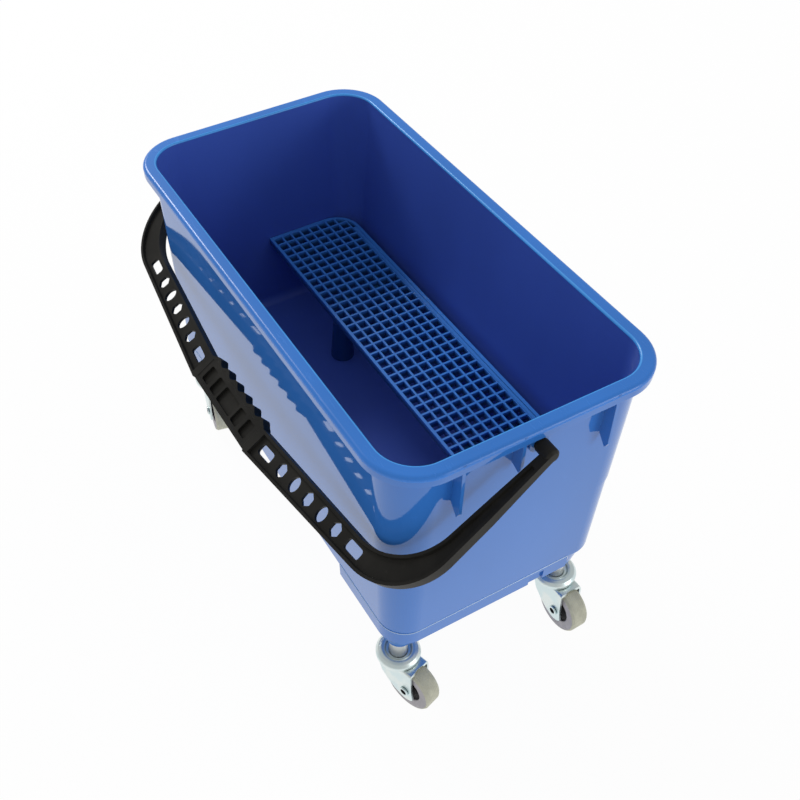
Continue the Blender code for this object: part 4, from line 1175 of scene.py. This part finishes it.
class BUCKET_OT_wheels(bpy.types.Operator):
    """Model the axles, wheel cores and tyres"""
    bl_idname = "bucket.wheels"
    bl_label = "Wheels"

    def execute(self, context):
        size = context.scene.bucket_caster
        gap = size.clearance
        seat = size.fork_width / 2 + gap
        end = seat + size.rivet_height
        well, hollow = end - 0.85 * size.rivet_height, 0.9 * size.axle
        profile = both_sides([(0, well), (hollow, well), (hollow, end), (size.rivet_radius, end),
                              (size.rivet_radius, seat), (size.axle, seat)])
        axle = smoothed(turned("axle", eased(profile, 0.5 * MM, 3), 40))
        # painted shade: the axles' hollow ends take the matt black
        for face in axle.data.polygons:
            face.material_index = int(math.hypot(face.center.x, face.center.y) < 1.25 * hollow)
        copy_to_corners(placed(axle, wheel_place(size)), "axle", "swivel_%d",
                        (finish("zinc_plate"), finish("matt_black_and_well_shade")))
        hub, bore = size.fork_width / 2 - size.sheet - gap, size.axle + gap
        rim, core = 0.46 * size.tyre_width, size.core_radius
        profile = both_sides([(bore, hub), (0.5 * core, hub), (0.62 * core, 0.8 * rim),
                              (0.9 * core, 0.82 * rim), (core, rim)])
        piece = smoothed(turned("core", eased(profile, 0.8 * MM, 3, True), 56, True))
        copy_to_corners(placed(piece, wheel_place(size)), "wheel_core", "wheel_%d", finish("matt_black_and_well_shade"))
        seat, wide, out = core + gap, size.tyre_width / 2, size.wheel_radius
        lines, pitch, flank = [], 0.2 * wide, 0.035 * wide
        for at in (-k * pitch for k in range(-3, 4)):
            lines += [(out, at + flank), (out - 0.25 * MM, at), (out, at - flank)]
        profile = both_sides([(seat, 0.94 * wide), (0.80 * out, 0.97 * wide), (0.94 * out, wide),
                              (out, 0.76 * wide)], lines)
        tyre = turned("tyre", eased(profile, 0.9 * MM, 3, True), 72, True)
        smoothed(tyre, 40)
        for face in tyre.data.polygons:
            if math.hypot(face.center.x, face.center.y) < 0.86 * out:
                face.material_index = 1
        copy_to_corners(placed(tyre, wheel_place(size)), "tyre", "wheel_%d",
                        (finish("tread_rubber"), finish("side_rubber")))
        return {"FINISHED"}


# Stage
TABLE_SIZE = 12.0                           # metres, as are the places here
KEY_PLACE, KEY_WIDTH = (-3.2, -0.35, 2.75), 1.2
FILL_PLACE, FILL_WIDTH = (2.3, 1.4, 0.85), 1.0
LIGHTS_AIM = Vector((0, 0, 0.2))
CAMERA_PLACE = Vector((0.6506, MIDDLE - 0.3920, 0.9562))
CAMERA_FORWARD = Vector((-0.6408, 0.3357, -0.6904))
CAMERA_RIGHT = Vector((0.4803, 0.8769, -0.0194))


class BUCKET_OT_stage(bpy.types.Operator):
    """Set up the floor, the studio light and the camera"""
    bl_idname = "bucket.stage"
    bl_label = "Stage"

    def execute(self, context):
        size = context.scene.bucket_stage
        floor = add("plane", "floor", size=TABLE_SIZE)
        floor.data.materials.append(self.table(size.glow))
        self.world(context, size.sky)
        self.softbox("key_light", KEY_PLACE, KEY_WIDTH, size.key)
        self.softbox("fill_light", FILL_PLACE, FILL_WIDTH, size.fill)
        self.camera(context, size)
        context.scene.view_settings.view_transform = "Standard"
        return {"FINISHED"}

    def table(self, glow):
        """White light table: mostly its own glow, with a little lit paper left for the shadow."""
        made = Finish("white_table")
        grain = made.noise(60.0, 3.0)
        made.set(base_color=made.mix(grain, (0.88, 0.88, 0.88), (0.92, 0.92, 0.92)), roughness=0.9)
        made.shader.inputs["Specular IOR Level"].default_value = 0.0
        light = made.node("ShaderNodeEmission", {}, {"Color": (1, 1, 1, 1), "Strength": 1.0})
        paper = Value(made, made.shader.outputs[0])
        both = made.node("ShaderNodeMixShader", {}, {0: glow, 1: paper, 2: light})
        made.links.new(both.socket, made.nodes["Material Output"].inputs["Surface"])
        return made.material

    def world(self, context, level):
        """Even light from all round, seen as plain white by the camera."""
        world = bpy.data.worlds.new("studio")
        world.use_nodes = True
        context.scene.world = world
        nodes, links = world.node_tree.nodes, world.node_tree.links
        sky = nodes["Background"]
        sky.inputs["Color"].default_value = (1.0, 1.0, 1.0, 1.0)
        sky.inputs["Strength"].default_value = level
        white = nodes.new("ShaderNodeBackground")
        white.inputs["Color"].default_value = (1.0, 1.0, 1.0, 1.0)
        path, mix = nodes.new("ShaderNodeLightPath"), nodes.new("ShaderNodeMixShader")
        links.new(path.outputs["Is Camera Ray"], mix.inputs[0])
        links.new(sky.outputs[0], mix.inputs[1])
        links.new(white.outputs[0], mix.inputs[2])
        links.new(mix.outputs[0], nodes["World Output"].inputs["Surface"])

    def softbox(self, name, place, width, power):
        bpy.ops.object.light_add(type="AREA", location=place)
        lamp = bpy.context.object
        lamp.name = name
        lamp.data.shape = "SQUARE"
        lamp.data.size = width
        lamp.data.energy = power
        aim = LIGHTS_AIM - Vector(place)
        lamp.rotation_euler = aim.to_track_quat("-Z", "Y").to_euler()

    def camera(self, context, size):
        bpy.ops.object.camera_add()
        camera = bpy.context.object
        forward = CAMERA_FORWARD.normalized()
        right = (CAMERA_RIGHT - CAMERA_RIGHT.dot(forward) * forward).normalized()
        up = right.cross(forward)
        turn_to = Matrix((right, up, -forward)).transposed().to_4x4()
        camera.matrix_world = Matrix.Translation(CAMERA_PLACE) @ turn_to
        camera.data.sensor_width = 36.0
        camera.data.lens = size.lens
        camera.data.shift_x, camera.data.shift_y = size.shift_x, size.shift_y
        camera.data.clip_start, camera.data.clip_end = 0.01, 50.0
        context.scene.camera = camera


OPERATORS = (BUCKET_OT_finishes, BUCKET_OT_tub, BUCKET_OT_drain_grid, BUCKET_OT_handle, BUCKET_OT_stems,
             BUCKET_OT_forks, BUCKET_OT_wheels, BUCKET_OT_stage)


class BUCKET_PT_sidebar(bpy.types.Panel):
    """Lists the bucket's pieces and their sizes"""
    bl_label = "Flat-mop bucket"
    bl_idname = "BUCKET_PT_sidebar"
    bl_space_type = "VIEW_3D"
    bl_region_type = "UI"
    bl_category = "Bucket"

    def draw(self, context):
        for operator in OPERATORS:
            self.layout.operator(operator.bl_idname)
        for name, group in GROUPS.items():
            box = self.layout.box()
            box.label(text=group.__doc__)
            for key in group.__annotations__:
                box.prop(getattr(context.scene, name), key)


def register():
    for item in (*GROUPS.values(), *OPERATORS, BUCKET_PT_sidebar):
        bpy.utils.register_class(item)
    for name, group in GROUPS.items():
        setattr(bpy.types.Scene, name, bpy.props.PointerProperty(type=group))


def unregister():
    for name in GROUPS:
        delattr(bpy.types.Scene, name)
    for item in (BUCKET_PT_sidebar, *OPERATORS[::-1], *GROUPS.values()):
        bpy.utils.unregister_class(item)


def main():
    register()
    bpy.ops.bucket.finishes()
    bpy.ops.bucket.tub()
    bpy.ops.bucket.drain_grid()
    bpy.ops.bucket.handle()
    bpy.ops.bucket.stems()
    bpy.ops.bucket.forks()
    bpy.ops.bucket.wheels()
    bpy.ops.bucket.stage()


if __name__ == "__main__":
    main()
